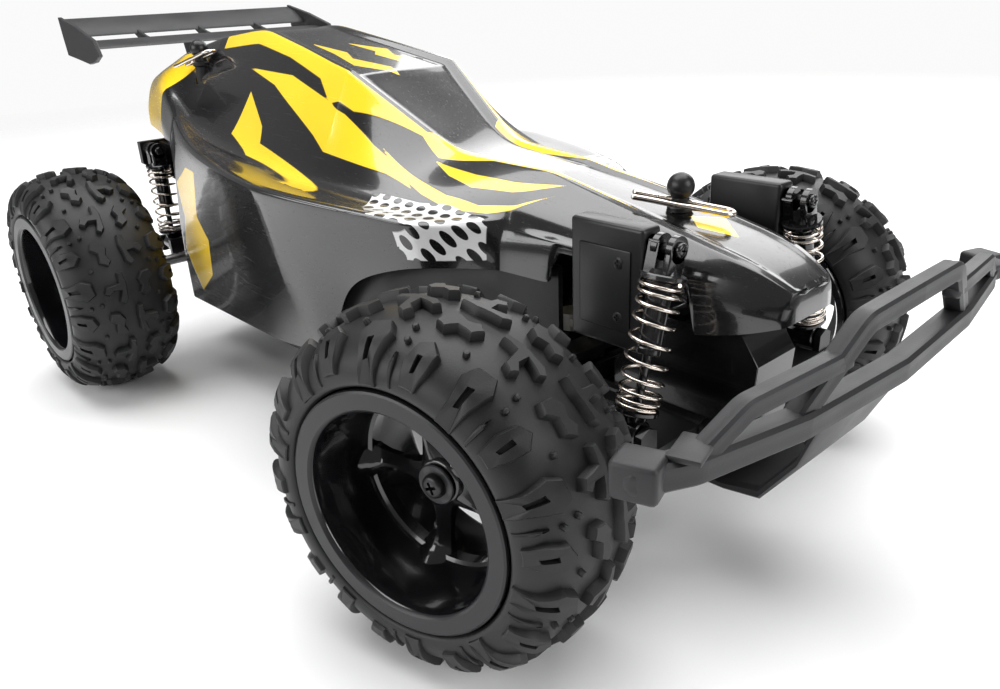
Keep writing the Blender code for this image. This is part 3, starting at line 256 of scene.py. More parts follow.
# %% [markdown]
# ## Effects that several finishes share
#
# Moulded plastic, rubber and paint differ in colour and gloss, but the same few things make them look real: a
# fine grain in the surface, edges that are rubbed a little lighter, dust where a surface faces up, and slow
# changes of tone. Each effect is a shader node group, built once and placed in each material with its own
# values. A group gives out only masks and heights, so the shader itself stays in the material.


# %% Node groups: grain, worn edges, dust and dots
def new_group(name, inputs, outputs):
    group = bpy.data.node_groups.new(name, "ShaderNodeTree")
    for label, kind, default in inputs:
        socket = group.interface.new_socket(label, in_out="INPUT", socket_type=kind)
        if default is not None:
            socket.default_value = default
    for label, kind in outputs:
        group.interface.new_socket(label, in_out="OUTPUT", socket_type=kind)
    start = group.nodes.new("NodeGroupInput")
    end = group.nodes.new("NodeGroupOutput")
    return group, start, end


def wire(tree, kind, links=(), **settings):
    """A node with these settings, its inputs linked or set, as (input, value or socket) pairs."""
    node = tree.nodes.new(kind)
    for key, value in settings.items():
        setattr(node, key, value)
    for socket, value in links:
        if isinstance(value, bpy.types.NodeSocket):
            tree.links.new(value, node.inputs[socket])
        else:
            node.inputs[socket].default_value = value
    return node


def maths(tree, operation, *values, clamp=False):
    return wire(tree, "ShaderNodeMath", list(enumerate(values)), operation=operation, use_clamp=clamp).outputs[0]


def remap(tree, value, low, high, out_low=0.0, out_high=1.0):
    pairs = [("Value", value), ("From Min", low), ("From Max", high), ("To Min", out_low), ("To Max", out_high)]
    return wire(tree, "ShaderNodeMapRange", pairs).outputs[0]


def build_grain():
    group, start, end = new_group(
        "Moulded grain",
        [("Position", "NodeSocketVector", None), ("Grain Size", "NodeSocketFloat", 0.5),
         ("Patch Size", "NodeSocketFloat", 20.0)],
        [("Height", "NodeSocketFloat"), ("Tone", "NodeSocketFloat")])
    per_grain = maths(group, "DIVIDE", 1000.0, start.outputs["Grain Size"])
    per_patch = maths(group, "DIVIDE", 1000.0, start.outputs["Patch Size"])
    fine = wire(group, "ShaderNodeTexNoise",
                [("Vector", start.outputs["Position"]), ("Scale", per_grain), ("Detail", 2.0)])
    broad = wire(group, "ShaderNodeTexNoise",
                 [("Vector", start.outputs["Position"]), ("Scale", per_patch), ("Detail", 5.0)])
    group.links.new(fine.outputs["Fac"], end.inputs["Height"])
    group.links.new(broad.outputs["Fac"], end.inputs["Tone"])
    return group


def build_wear():
    group, start, end = new_group(
        "Rubbed edges",
        [("Position", "NodeSocketVector", None), ("Amount", "NodeSocketFloat", 0.5)],
        [("Mask", "NodeSocketFloat")])
    bend = wire(group, "ShaderNodeNewGeometry").outputs["Pointiness"]
    sharp = remap(group, bend, 0.56, 0.68)
    broken = wire(group, "ShaderNodeTexNoise",
                  [("Vector", start.outputs["Position"]), ("Scale", 420.0), ("Detail", 4.0)])
    patchy = remap(group, broken.outputs["Fac"], 0.42, 0.62)
    both = maths(group, "MULTIPLY", sharp, patchy)
    group.links.new(maths(group, "MULTIPLY", both, start.outputs["Amount"], clamp=True), end.inputs["Mask"])
    return group


def build_dust():
    group, start, end = new_group(
        "Settled dust",
        [("Position", "NodeSocketVector", None), ("Amount", "NodeSocketFloat", 0.2)],
        [("Mask", "NodeSocketFloat")])
    normal = wire(group, "ShaderNodeNewGeometry").outputs["Normal"]
    upward = wire(group, "ShaderNodeSeparateXYZ", [(0, normal)]).outputs["Z"]
    facing = remap(group, upward, 0.1, 1.0)
    specks = wire(group, "ShaderNodeTexNoise",
                  [("Vector", start.outputs["Position"]), ("Scale", 1500.0), ("Detail", 3.0)])
    clumps = wire(group, "ShaderNodeTexNoise",
                  [("Vector", start.outputs["Position"]), ("Scale", 90.0), ("Detail", 3.0)])
    fine = remap(group, specks.outputs["Fac"], 0.5, 0.72)
    wide = remap(group, clumps.outputs["Fac"], 0.4, 0.7)
    spread = maths(group, "MULTIPLY", maths(group, "MULTIPLY", fine, wide), facing)
    group.links.new(maths(group, "MULTIPLY", spread, start.outputs["Amount"], clamp=True), end.inputs["Mask"])
    return group


def build_dots():
    """Round dots in staggered rows: two square grids, one moved by half a step both ways."""
    group, start, end = new_group(
        "Staggered dots",
        [("Position", "NodeSocketVector", None), ("Pitch", "NodeSocketFloat", 4.0),
         ("Radius", "NodeSocketFloat", 1.4)],
        [("Mask", "NodeSocketFloat")])
    parts = wire(group, "ShaderNodeSeparateXYZ", [(0, start.outputs["Position"])])
    row = maths(group, "MULTIPLY", start.outputs["Pitch"], math.sqrt(3))
    nearest = []
    for shift in (0.0, 0.5):
        across = maths(group, "ADD", maths(group, "DIVIDE", parts.outputs["X"], start.outputs["Pitch"]), shift)
        along = maths(group, "ADD", maths(group, "DIVIDE", parts.outputs["Y"], row), shift)
        dx = maths(group, "SUBTRACT", maths(group, "FRACT", across), 0.5)
        dy = maths(group, "SUBTRACT", maths(group, "FRACT", along), 0.5)
        dx = maths(group, "MULTIPLY", dx, start.outputs["Pitch"])
        dy = maths(group, "MULTIPLY", dy, row)
        square = maths(group, "ADD", maths(group, "MULTIPLY", dx, dx), maths(group, "MULTIPLY", dy, dy))
        nearest.append(maths(group, "SQRT", square))
    gap = maths(group, "SUBTRACT", start.outputs["Radius"], maths(group, "MINIMUM", *nearest))
    group.links.new(remap(group, gap, -0.06, 0.06), end.inputs["Mask"])
    return group


GRAIN, WEAR, DUST, DOTS = build_grain(), build_wear(), build_dust(), build_dots()
print("node groups:", ", ".join(group.name for group in bpy.data.node_groups))

# %% [markdown]
# ## Finishes
#
# `moulding` makes any plain finish on the car: a base colour that drifts between two tones, rubbed edges, a
# little dust, and a grain that is felt as a small bump. Values that are the same all over, such as a clear
# coat's roughness, are set on the shader's own sockets.


# %% A finish for moulded, turned and plated pieces
def placed_group(tree, group, **values):
    node = tree.nodes.new("ShaderNodeGroup")
    node.node_tree = group
    for label, value in values.items():
        label = label.replace("_", " ")
        if isinstance(value, bpy.types.NodeSocket):
            tree.links.new(value, node.inputs[label])
        else:
            node.inputs[label].default_value = value
    return node


def mixed(tree, factor, first, second):
    """A colour between two, each a colour or a socket."""
    node = tree.nodes.new("ShaderNodeMix")
    node.data_type = "RGBA"
    for index, value in ((0, factor), (6, first), (7, second)):
        if isinstance(value, bpy.types.NodeSocket):
            tree.links.new(value, node.inputs[index])
        else:
            node.inputs[index].default_value = value if index == 0 else (*value, 1)
    return node.outputs[2]


def new_material(name):
    material = bpy.data.materials.new(name)
    material.use_nodes = True
    tree = material.node_tree
    shader = tree.nodes["Principled BSDF"]
    place = tree.nodes.new("ShaderNodeTexCoord").outputs["Object"]
    return material, tree, shader, place


DUST_COLOUR = (0.09, 0.085, 0.08)


def moulding(name, dark, light, roughness, grain=0.4, depth=0.02, wear=0.4, worn=(0.12, 0.12, 0.12), dust=0.25,
             metallic=0.0, coat=0.0, patch=24.0):
    """dark and light are the two tones; roughness is a (low, high) pair; grain and depth are in millimetres."""
    material, tree, shader, place = new_material(name)
    surface = placed_group(tree, GRAIN, Position=place, Grain_Size=grain, Patch_Size=patch)
    edges = placed_group(tree, WEAR, Position=place, Amount=wear)
    film = placed_group(tree, DUST, Position=place, Amount=dust)
    tone = remap(tree, surface.outputs["Tone"], 0.35, 0.65)
    colour = mixed(tree, tone, dark, light)
    colour = mixed(tree, edges.outputs["Mask"], colour, worn)
    colour = mixed(tree, film.outputs["Mask"], colour, DUST_COLOUR)
    tree.links.new(colour, shader.inputs["Base Color"])
    gloss = remap(tree, surface.outputs["Tone"], 0.3, 0.7, roughness[0], roughness[1])
    gloss = maths(tree, "ADD", gloss, maths(tree, "MULTIPLY", film.outputs["Mask"], 0.5), clamp=True)
    tree.links.new(gloss, shader.inputs["Roughness"])
    bump = wire(tree, "ShaderNodeBump", [("Height", surface.outputs["Height"]), ("Distance", depth * MM)])
    bump.inputs["Strength"].default_value = 1.0
    tree.links.new(bump.outputs[0], shader.inputs["Normal"])
    shader.inputs["Metallic"].default_value = metallic
    shader.inputs["Coat Weight"].default_value = coat
    shader.inputs["Coat Roughness"].default_value = 0.04
    shader.inputs["Specular IOR Level"].default_value = 0.5 if metallic or coat else 0.38
    return material


RUBBER = moulding("tyre_rubber", (0.007, 0.007, 0.0075), (0.013, 0.013, 0.0135), (0.42, 0.56), grain=0.35, depth=0.03,
                  wear=0.25, worn=(0.03, 0.03, 0.03), dust=0.14, patch=14)
RIM_GLOSS = moulding("rim_gloss_black", (0.004, 0.004, 0.005), (0.008, 0.008, 0.009), (0.1, 0.2), grain=2.2,
                     depth=0.01, wear=0.1, worn=(0.03, 0.03, 0.03), dust=0.12, coat=0.6)
RIM_SATIN = moulding("rim_satin_lip", (0.009, 0.009, 0.0105), (0.013, 0.013, 0.015), (0.3, 0.4), grain=0.3,
                     depth=0.012, wear=0.2, worn=(0.04, 0.04, 0.04), dust=0.08)
NYLON = moulding("bumper_nylon", (0.013, 0.013, 0.0145), (0.02, 0.02, 0.022), (0.4, 0.54), grain=0.45, depth=0.03,
                 wear=0.3, worn=(0.05, 0.05, 0.05), dust=0.12, patch=18)
TOWER_NYLON = moulding("tower_nylon", (0.006, 0.006, 0.0068), (0.01, 0.01, 0.011), (0.28, 0.42), grain=0.4,
                       depth=0.02, wear=0.25, worn=(0.04, 0.04, 0.04), dust=0.08)
GLOSS_BLACK = moulding("gloss_black_moulding", (0.004, 0.004, 0.0045), (0.009, 0.009, 0.01), (0.14, 0.26), grain=1.5,
                       depth=0.012, wear=0.2, worn=(0.05, 0.05, 0.05), dust=0.1, coat=0.35)
TUB_BLACK = moulding("tub_black", (0.005, 0.005, 0.006), (0.009, 0.009, 0.01), (0.26, 0.4), grain=0.5, depth=0.02,
                     wear=0.2, worn=(0.03, 0.03, 0.03), dust=0.08)
NICKEL = moulding("nickel_wire", (0.62, 0.55, 0.49), (0.82, 0.75, 0.68), (0.12, 0.24), grain=0.25, depth=0.004,
                  wear=0.0, dust=0.05, metallic=1.0, patch=5)
STEEL = moulding("turned_steel", (0.42, 0.42, 0.43), (0.58, 0.58, 0.58), (0.22, 0.38), grain=0.15, depth=0.005,
                 wear=0.0, dust=0.08, metallic=1.0, patch=6)
BLACK_STEEL = moulding("blackened_screw", (0.02, 0.02, 0.021), (0.04, 0.04, 0.042), (0.25, 0.4), grain=0.2,
                       depth=0.006, wear=0.6, worn=(0.3, 0.3, 0.3), dust=0.1, metallic=0.7)
ZINC = moulding("zinc_can", (0.5, 0.51, 0.53), (0.66, 0.67, 0.69), (0.26, 0.42), grain=3.0, depth=0.01, wear=0.1,
                worn=(0.8, 0.8, 0.8), dust=0.1, metallic=1.0)
ACETAL = moulding("natural_acetal", (0.72, 0.7, 0.64), (0.82, 0.81, 0.76), (0.36, 0.48), grain=0.6, depth=0.01,
                  wear=0.0, dust=0.15)
WRAP_GREEN = moulding("battery_wrap", (0.02, 0.1, 0.045), (0.03, 0.15, 0.07), (0.2, 0.34), grain=6.0, depth=0.05,
                      wear=0.1, worn=(0.2, 0.3, 0.2), dust=0.1, coat=0.3)
BOARD = moulding("circuit_board", (0.01, 0.08, 0.03), (0.018, 0.12, 0.05), (0.3, 0.45), grain=0.8, depth=0.02,
                 wear=0.4, worn=(0.55, 0.42, 0.18), dust=0.2)
print("finishes:", len(bpy.data.materials))

# %% [markdown]
# ## Tyres
#
# An off-road tyre is a plain round carcass with rubber blocks standing on it: long slotted fins on the shoulders,
# forked blocks down the middle and small round nubs between them. The pattern repeats ten times round. Copying
# by hand would be slow and never quite even, so one tenth is drawn and a Geometry Nodes tree turns it round the
# axle. A lug is drawn flat, as an outline in (round, across) millimetres, and wrapped on the carcass: the first
# number becomes an angle and the second a distance along the carcass's curved section.

# %% The carcass section
LUG_HEIGHT = 2.3
TREAD_REPEATS = 10
# Half of the section, from the crown to the bead: distance out from the middle plane, and radius.
CARCASS = [(0.0, 43.8), (5.0, 43.6), (9.0, 43.0), (12.8, 41.9), (16.2, 40.0), (18.8, 37.4), (20.1, 34.6),
           (20.3, 32.6), (19.9, 31.3), (18.8, 30.75)]


def carcass_at(across):
    """The point and the outward normal at this distance along the section from the crown."""
    side = 1 if across >= 0 else -1
    left = abs(across)
    for (y0, r0), (y1, r1) in zip(CARCASS, CARCASS[1:]):
        length = math.hypot(y1 - y0, r1 - r0)
        if left <= length or (y1, r1) == CARCASS[-1]:
            share = min(left / length, 1.0)
            normal = Vector((r0 - r1, y1 - y0)).normalized()
            point = Vector((side * (y0 + (y1 - y0) * share), r0 + (r1 - r0) * share))
            return point, Vector((side * normal.x, normal.y))
        left -= length


def smooth_section(points, times=2):
    """Corner cutting, which turns the few measured points into an even curve."""
    for _ in range(times):
        cut = [points[0]]
        for (y0, r0), (y1, r1) in zip(points, points[1:]):
            cut += [(y0 * 0.75 + y1 * 0.25, r0 * 0.75 + r1 * 0.25), (y0 * 0.25 + y1 * 0.75, r0 * 0.25 + r1 * 0.75)]
        points = cut + [points[-1]]
    return points


def on_tyre(around, across, height):
    """A point on the carcass, lifted off it by a height."""
    point, normal = carcass_at(across)
    spot = point + normal * height
    angle = around / CARCASS[0][1]
    return Vector((spot.y * math.sin(angle), spot.x, -spot.y * math.cos(angle)))


CARCASS = smooth_section(CARCASS)
print("carcass section has", len(CARCASS), "points to a side")

# %% [markdown]
# ## One lug
#
# A lug has sloping sides, a rounded top edge and often a slot. All its rings have the same count of points, so
# quads join them: the foot, sunk a little into the carcass, the shoulder, the top, and then, where there is a
# slot, its mouth and its floor.


# %% Lugs from outlines
def divided(outline, longest=1.6):
    """The outline with its long sides cut up, so that it can follow the curve of the tyre."""
    points = []
    for i, (a, b) in enumerate(outline):
        c, d = outline[(i + 1) % len(outline)]
        cuts = max(1, round(math.hypot(c - a, d - b) / longest))
        points += [(a + (c - a) * k / cuts, b + (d - b) * k / cuts) for k in range(cuts)]
    return points


def shrunk(outline, amount):
    """Every point moved inwards from the outline by the amount."""
    result = []
    area = sum(a[0] * b[1] - b[0] * a[1] for a, b in zip(outline, outline[1:] + outline[:1]))
    turn = 1 if area > 0 else -1
    for i, point in enumerate(outline):
        before = Vector(outline[i - 1])
        after = Vector(outline[(i + 1) % len(outline)])
        here = Vector(point)
        first = (here - before).normalized()
        second = (after - here).normalized()
        inward = Vector((-(first.y + second.y), first.x + second.x)) * turn
        if inward.length < 1e-6:
            inward = Vector((-first.y, first.x)) * turn
        inward.normalize()
        result.append(tuple(here + inward * amount))
    return result


def lug(outline, height, slot=None, crown=None):
    """A block on the carcass. slot is a smaller outline of a groove; crown, a share of height at each end."""
    outline = divided(outline)
    rings = []

    def lift(points, level):
        ring = []
        for a, b in points:
            drop = 1.0 if crown is None else crown(b)
            ring.append(on_tyre(a, b, level * drop if level > 0 else level))
        return ring

    rings.append(lift(outline, -0.4))
    rings.append(lift(shrunk(outline, 0.3), height * 0.78))
    rings.append(lift(shrunk(outline, 0.62), height))
    if slot is None:
        return loft(rings)
    count = len(outline)
    # The groove's outline is walked from the corner nearest the lug's first one, in as many even steps.
    corners = [Vector(point) for point in slot]
    first = min(range(len(corners)), key=lambda i: (corners[i] - Vector(outline[0])).length)
    corners = corners[first:] + corners[:first]
    ends = corners[1:] + corners[:1]
    walked = [0.0]
    for a, b in zip(corners, ends):
        walked.append(walked[-1] + (b - a).length)
    mouth = []
    for k in range(count):
        distance = walked[-1] * k / count
        i = max(j for j in range(len(corners)) if walked[j] <= distance)
        mouth.append(tuple(corners[i].lerp(ends[i], (distance - walked[i]) / (walked[i + 1] - walked[i]))))
    rings.append(lift(mouth, height))
    rings.append(lift(shrunk(mouth, 0.12), height * 0.25))
    return loft(rings)


def nub(around, across, radius=0.85, height=1.3):
    rings = []
    for share, level in ((1.0, -0.3), (0.92, 0.7), (0.66, 1.0), (0.2, 1.06)):
        ring = []
        for step in range(10):
            angle = math.tau * step / 10
            ring.append(on_tyre(around + radius * share * math.cos(angle), across + radius * share * math.sin(angle),
                                height * level if level > 0 else level))
        rings.append(ring)
    return loft(rings)


def fin_crown(across):
    """Shoulder fins are tallest on the corner of the tyre and fade out down the sidewall."""
    depth = abs(across)
    return 1.0 if depth < 17 else max(0.32, 1.0 - (depth - 17) * 0.085)


SEGMENT = math.tau * CARCASS[0][1] / TREAD_REPEATS  # length of one repeat round the crown


def tread_segment():
    """One tenth of the tread, both shoulders, with the far side half a repeat on."""
    shapes = []
    for side in (1, -1):
        shift = 0.0 if side > 0 else SEGMENT / 2
        long_fin = [(-3.6, 26.2), (-3.2, 20.5), (-4.4, 15.5), (-2.6, 12.2), (2.2, 11.6), (4.3, 14.6), (3.0, 20.0),
                (2.6, 26.2)]
        long_slot = [(-0.9, 21.0), (-1.2, 16.6), (0.5, 16.2), (0.5, 20.6)]
        short_fin = [(-2.9, 24.0), (-3.8, 19.0), (-2.6, 14.4), (0.6, 12.9), (3.6, 15.2), (3.4, 19.4), (2.1, 24.0)]
        short_slot = [(-0.6, 20.6), (-0.8, 17.0), (0.6, 16.8), (0.6, 20.2)]
        for outline, slot, at in ((long_fin, long_slot, SEGMENT * 0.22), (short_fin, short_slot, SEGMENT * 0.72)):
            put = [(a + at + shift, b * side) for a, b in outline]
            hole = [(a + at + shift, b * side) for a, b in slot]
            shapes.append(lug(put, LUG_HEIGHT * 0.92, hole, fin_crown))
        thin_rib = [(-0.7, 25.6), (-1.0, 20.0), (-0.2, 17.4), (0.7, 20.0), (0.8, 25.6)]
        shapes.append(lug([(a + SEGMENT * 0.48 + shift, b * side) for a, b in thin_rib], 1.1, None, fin_crown))
        for a, b in ((SEGMENT * 0.47, 10.8), (SEGMENT * 0.97, 11.2), (SEGMENT * 0.5, 14.6)):
            shapes.append(nub(a + shift, b * side))
        fork = [(-5.4, 1.2), (-5.4, 3.4), (-1.6, 3.6), (-1.0, 8.2), (1.6, 9.4), (3.0, 7.4), (1.5, 5.6), (1.6, 3.3),
                (5.6, 4.8), (7.0, 3.0), (5.2, 1.2), (1.2, 0.8), (-1.2, 0.5)]
        shapes.append(lug([(a + SEGMENT * 0.25 + shift, b * side) for a, b in fork], LUG_HEIGHT))
        step = [(-4.2, 5.2), (-4.6, 8.6), (-1.8, 9.6), (0.2, 7.4), (3.8, 7.8), (5.6, 5.0), (3.4, 3.2), (1.0, 4.4),
                (-1.6, 3.4)]
        shapes.append(lug([(a + SEGMENT * 0.76 + shift, b * side) for a, b in step], LUG_HEIGHT))
    return joined(shapes)


print("one repeat is", round(SEGMENT, 1), "mm long")

# %% [markdown]
# ## Turning a pattern round an axle
#
# The tree takes a mesh and a count, makes that many points at the centre, gives each an angle about the Y axis
# from its index, and puts the mesh on them. Realize Instances makes it one real mesh and Set Material paints it.
# The same tree makes the spokes of the rims.


# %% A Geometry Nodes tree: copies round the axle
def new_tree(name, inputs):
    tree = bpy.data.node_groups.new(name, "GeometryNodeTree")
    tree.interface.new_socket("Geometry", in_out="OUTPUT", socket_type="NodeSocketGeometry")
    for label, kind in inputs:
        tree.interface.new_socket(label, in_out="INPUT", socket_type=kind)
    return tree, tree.nodes.new("NodeGroupInput"), tree.nodes.new("NodeGroupOutput")


def build_round_axle():
    tree, start, end = new_tree("Copies round the axle", [
        ("Geometry", "NodeSocketGeometry"), ("Count", "NodeSocketInt"), ("Finish", "NodeSocketMaterial")])
    points = wire(tree, "GeometryNodePoints", [("Count", start.outputs["Count"])])
    index = wire(tree, "GeometryNodeInputIndex").outputs[0]
    turn = maths(tree, "DIVIDE", maths(tree, "MULTIPLY", index, math.tau), start.outputs["Count"])
    spin = wire(tree, "ShaderNodeCombineXYZ", [("Y", turn)])
    copies = wire(tree, "GeometryNodeInstanceOnPoints", [
        ("Points", points.outputs[0]), ("Instance", start.outputs["Geometry"]), ("Rotation", spin.outputs[0])])
    real = wire(tree, "GeometryNodeRealizeInstances", [("Geometry", copies.outputs[0])])
    paint = wire(tree, "GeometryNodeSetMaterial", [
        ("Geometry", real.outputs[0]), ("Material", start.outputs["Finish"])])
    tree.links.new(paint.outputs[0], end.inputs["Geometry"])
    return tree


def grown(tree, shape, **inputs):
    """Runs a tree on a drawing in millimetres and gives back the drawing that it makes."""
    mesh = bpy.data.meshes.new("seed")
    shape.to_mesh(mesh)
    shape.free()
    holder = bpy.data.objects.new("seed", mesh)
    bpy.context.scene.collection.objects.link(holder)
    step = holder.modifiers.new("grow", "NODES")
    step.node_group = tree
    for item in tree.interface.items_tree:
        label = item.name.replace(" ", "_")
        if item.in_out == "INPUT" and label in inputs:
            step[item.identifier] = inputs[label]
    graph = bpy.context.evaluated_depsgraph_get()
    made = bpy.data.meshes.new_from_object(holder.evaluated_get(graph))
    result = bmesh.new()
    result.from_mesh(made)
    bpy.data.objects.remove(holder)
    bpy.data.meshes.remove(made)
    return result


ROUND_AXLE = build_round_axle()
tread = grown(ROUND_AXLE, tread_segment(), Count=TREAD_REPEATS, Finish=RUBBER)
bmesh.ops.recalc_face_normals(tread, faces=tread.faces)
print("tread faces:", len(tread.faces))


# %% The four tyres
def carcass():
    """The carcass as one closed wall: the outer section and, 2.6 mm in, the inner one."""
    half = CARCASS[1:]
    outer = [(-y, r) for y, r in reversed(half)] + [CARCASS[0]] + half
    wall = 2.6
    inner = [(y - math.copysign(wall, y) if abs(y) > wall else 0.0, r - wall if abs(y) < 16 else min(r, 38.0))
             for y, r in outer if abs(y) < 19.2 and r > 32.2]
    return lathe(outer + [(15.8, 31.4)] + list(reversed(inner)) + [(-15.8, 31.4)], 120)


tread_mesh = bpy.data.meshes.new("tread_pattern")
tread.to_mesh(tread_mesh)
tread.free()
for corner in CORNERS:
    whole = carcass()
    bmesh.ops.recalc_face_normals(whole, faces=whole.faces)
    whole.from_mesh(tread_mesh)
    flip = Matrix.Rotation(0.21 * CORNERS.index(corner), 4, "Y")
    body = ("wheel_" + corner) if corner.startswith("front") else "rear_axle"
    tyre = finished("lugged_tyre_" + corner, placed(whole, wheel_place(corner) @ flip), RUBBER, body,
                    ["tyre_" + corner], sharp=32, recalc=False)
print("each tyre has", len(tyre.data.polygons), "faces")

# %% [markdown]
# ## Rims
#
# The rim is a deep dish: a broad satin lip, a glossy barrel that narrows inwards, and five ridged spokes far
# down at the hub, with open windows between them. The barrel and hub are turned. A spoke is a loft of small
# roof-shaped sections, wide where it leaves the hub, narrow in the middle and flared where it climbs the barrel
# wall, and the same tree turns it round the axle.

# %% Barrel, hub and spokes
SPOKE_COUNT = 5
LIP_FACE = 20.2
BARREL = [(LIP_FACE, 26.0), (LIP_FACE, 29.7), (LIP_FACE - 0.3, 30.2), (LIP_FACE - 0.8, 30.4), (-19.4, 30.4),
          (-19.95, 29.9), (-19.95, 28.2), (-18.5, 27.6), (-2.6, 25.4), (-2.2, 22.9), (1.2, 22.7), (1.7, 23.6),
          (2.6, 24.1), (9.0, 24.5), (17.0, 24.9), (18.8, 25.0), (19.4, 25.2), (19.9, 25.6)]
HUB = [(-7.0, 2.7), (-7.0, 6.2), (-1.0, 6.5), (1.6, 6.6), (2.6, 6.3), (3.3, 5.7), (3.5, 5.3), (3.5, 2.7)]
# Along a spoke: distance from the axle, width, height of the ridge, and how far its flanks lie below it.
SPOKE_SECTIONS = [(5.0, 8.4, 3.2, 1.2), (7.5, 6.4, 2.9, 1.6), (11.0, 5.0, 2.0, 1.9), (15.0, 4.8, 1.2, 2.0),
                  (19.0, 5.8, 1.1, 2.0), (21.6, 7.6, 1.9, 2.1), (23.2, 9.6, 3.4, 2.4), (24.4, 11.4, 5.6, 3.2)]


def spoke():
    rings = []
    for reach, width, ridge, fall in SPOKE_SECTIONS:
        half = width / 2
        section = [(-half, -2.4), (-half, ridge - fall), (-half * 0.45, ridge - fall * 0.3), (-half * 0.16, ridge),
                   (half * 0.16, ridge), (half * 0.45, ridge - fall * 0.3), (half, ridge - fall), (half, -2.4)]
        rings.append([(x, y, reach) for x, y in section])
    return loft(rings)


def rim_at(corner):
    wheel = wheel_place(corner)
    spokes = grown(ROUND_AXLE, spoke(), Count=SPOKE_COUNT, Finish=RIM_GLOSS)
    body = ("wheel_" + corner) if corner.startswith("front") else "rear_axle"
    turn = Matrix.Rotation(0.42 if corner == "front_right" else 0.1, 4, "Y")
    whole = placed(joined([lathe(BARREL), lathe(HUB, 48), spokes]), wheel @ turn)
    rim = finished("dished_rim_" + corner, whole, RIM_GLOSS, body, ["rim_" + corner], sharp=30)
    rim.data.materials.append(RIM_SATIN)
    centre = wheel.to_translation()
    axle = (wheel.to_3x3() @ Vector((0, 1, 0))).normalized()
    for face in rim.data.polygons:
        along = (face.center / MM - centre).dot(axle)
        face.material_index = 1 if along > LIP_FACE - 0.95 else 0
    return rim


for corner in CORNERS:
    rim_at(corner)
print("rims made, with", SPOKE_COUNT, "spokes each")

# %% [markdown]
# ## Screws
#
# Screws hold the whole toy together, so one drawing serves them all: a domed head whose top is a ring of points
# bent into the outline of a cross, then sunk to make the driver's recess.


# %% A cross-recess screw
def cross_outline(half, arm, count):
    corner = [(arm, arm), (arm, half), (-arm, half), (-arm, arm), (-half, arm), (-half, -arm), (-arm, -arm),
              (-arm, -half), (arm, -half), (arm, -arm), (half, -arm), (half, arm)]
    corner = corner[::-1]
    points = []
    for k in range(count):
        spot = k * len(corner) / count
        a, b = Vector(corner[int(spot)]), Vector(corner[(int(spot) + 1) % len(corner)])
        points.append(a.lerp(b, spot - int(spot)))
    start = max(range(count), key=lambda i: points[i].x + 0.001 * points[i].y)
    return points[start:] + points[:start]


def screw_head(radius, height, sides=36):
    """A pan head with its seat at y = 0, facing +Y."""
    rings = []
    dome = [(-0.2, radius), (height * 0.35, radius), (height * 0.7, radius * 0.93), (height * 0.92, radius * 0.78),
            (height, radius * 0.62)]
    for y, r in dome:
        rings.append([(r * math.cos(-math.tau * k / sides), y, r * math.sin(-math.tau * k / sides))
                      for k in range(sides)])
    cross = cross_outline(radius * 0.52, radius * 0.13, sides)
    rings.append([(p.x, height, p.y) for p in cross])
    rings.append([(p.x * 0.9, height * 0.3, p.y * 0.9) for p in cross])
    return loft(rings)


WASHER = [(0.0, 2.2), (0.0, 4.9), (0.25, 5.15), (0.75, 5.15), (1.0, 4.9), (1.0, 2.2)]
for corner in CORNERS:
    wheel = wheel_place(corner)
    seat = Matrix.Translation((0, 3.7, 0))
    head = placed(screw_head(3.1, 1.9), Matrix.Translation((0, 1.0, 0)) @ Matrix.Rotation(0.4, 4, "Y"))
    stack = placed(joined([lathe(WASHER, 48), head]), wheel @ seat)
    body = ("wheel_" + corner) if corner.startswith("front") else "rear_axle"
    finished("hub_screw_" + corner, stack, BLACK_STEEL, body, ["wheel_screw_" + corner], sharp=30)
print("hub screws seated")
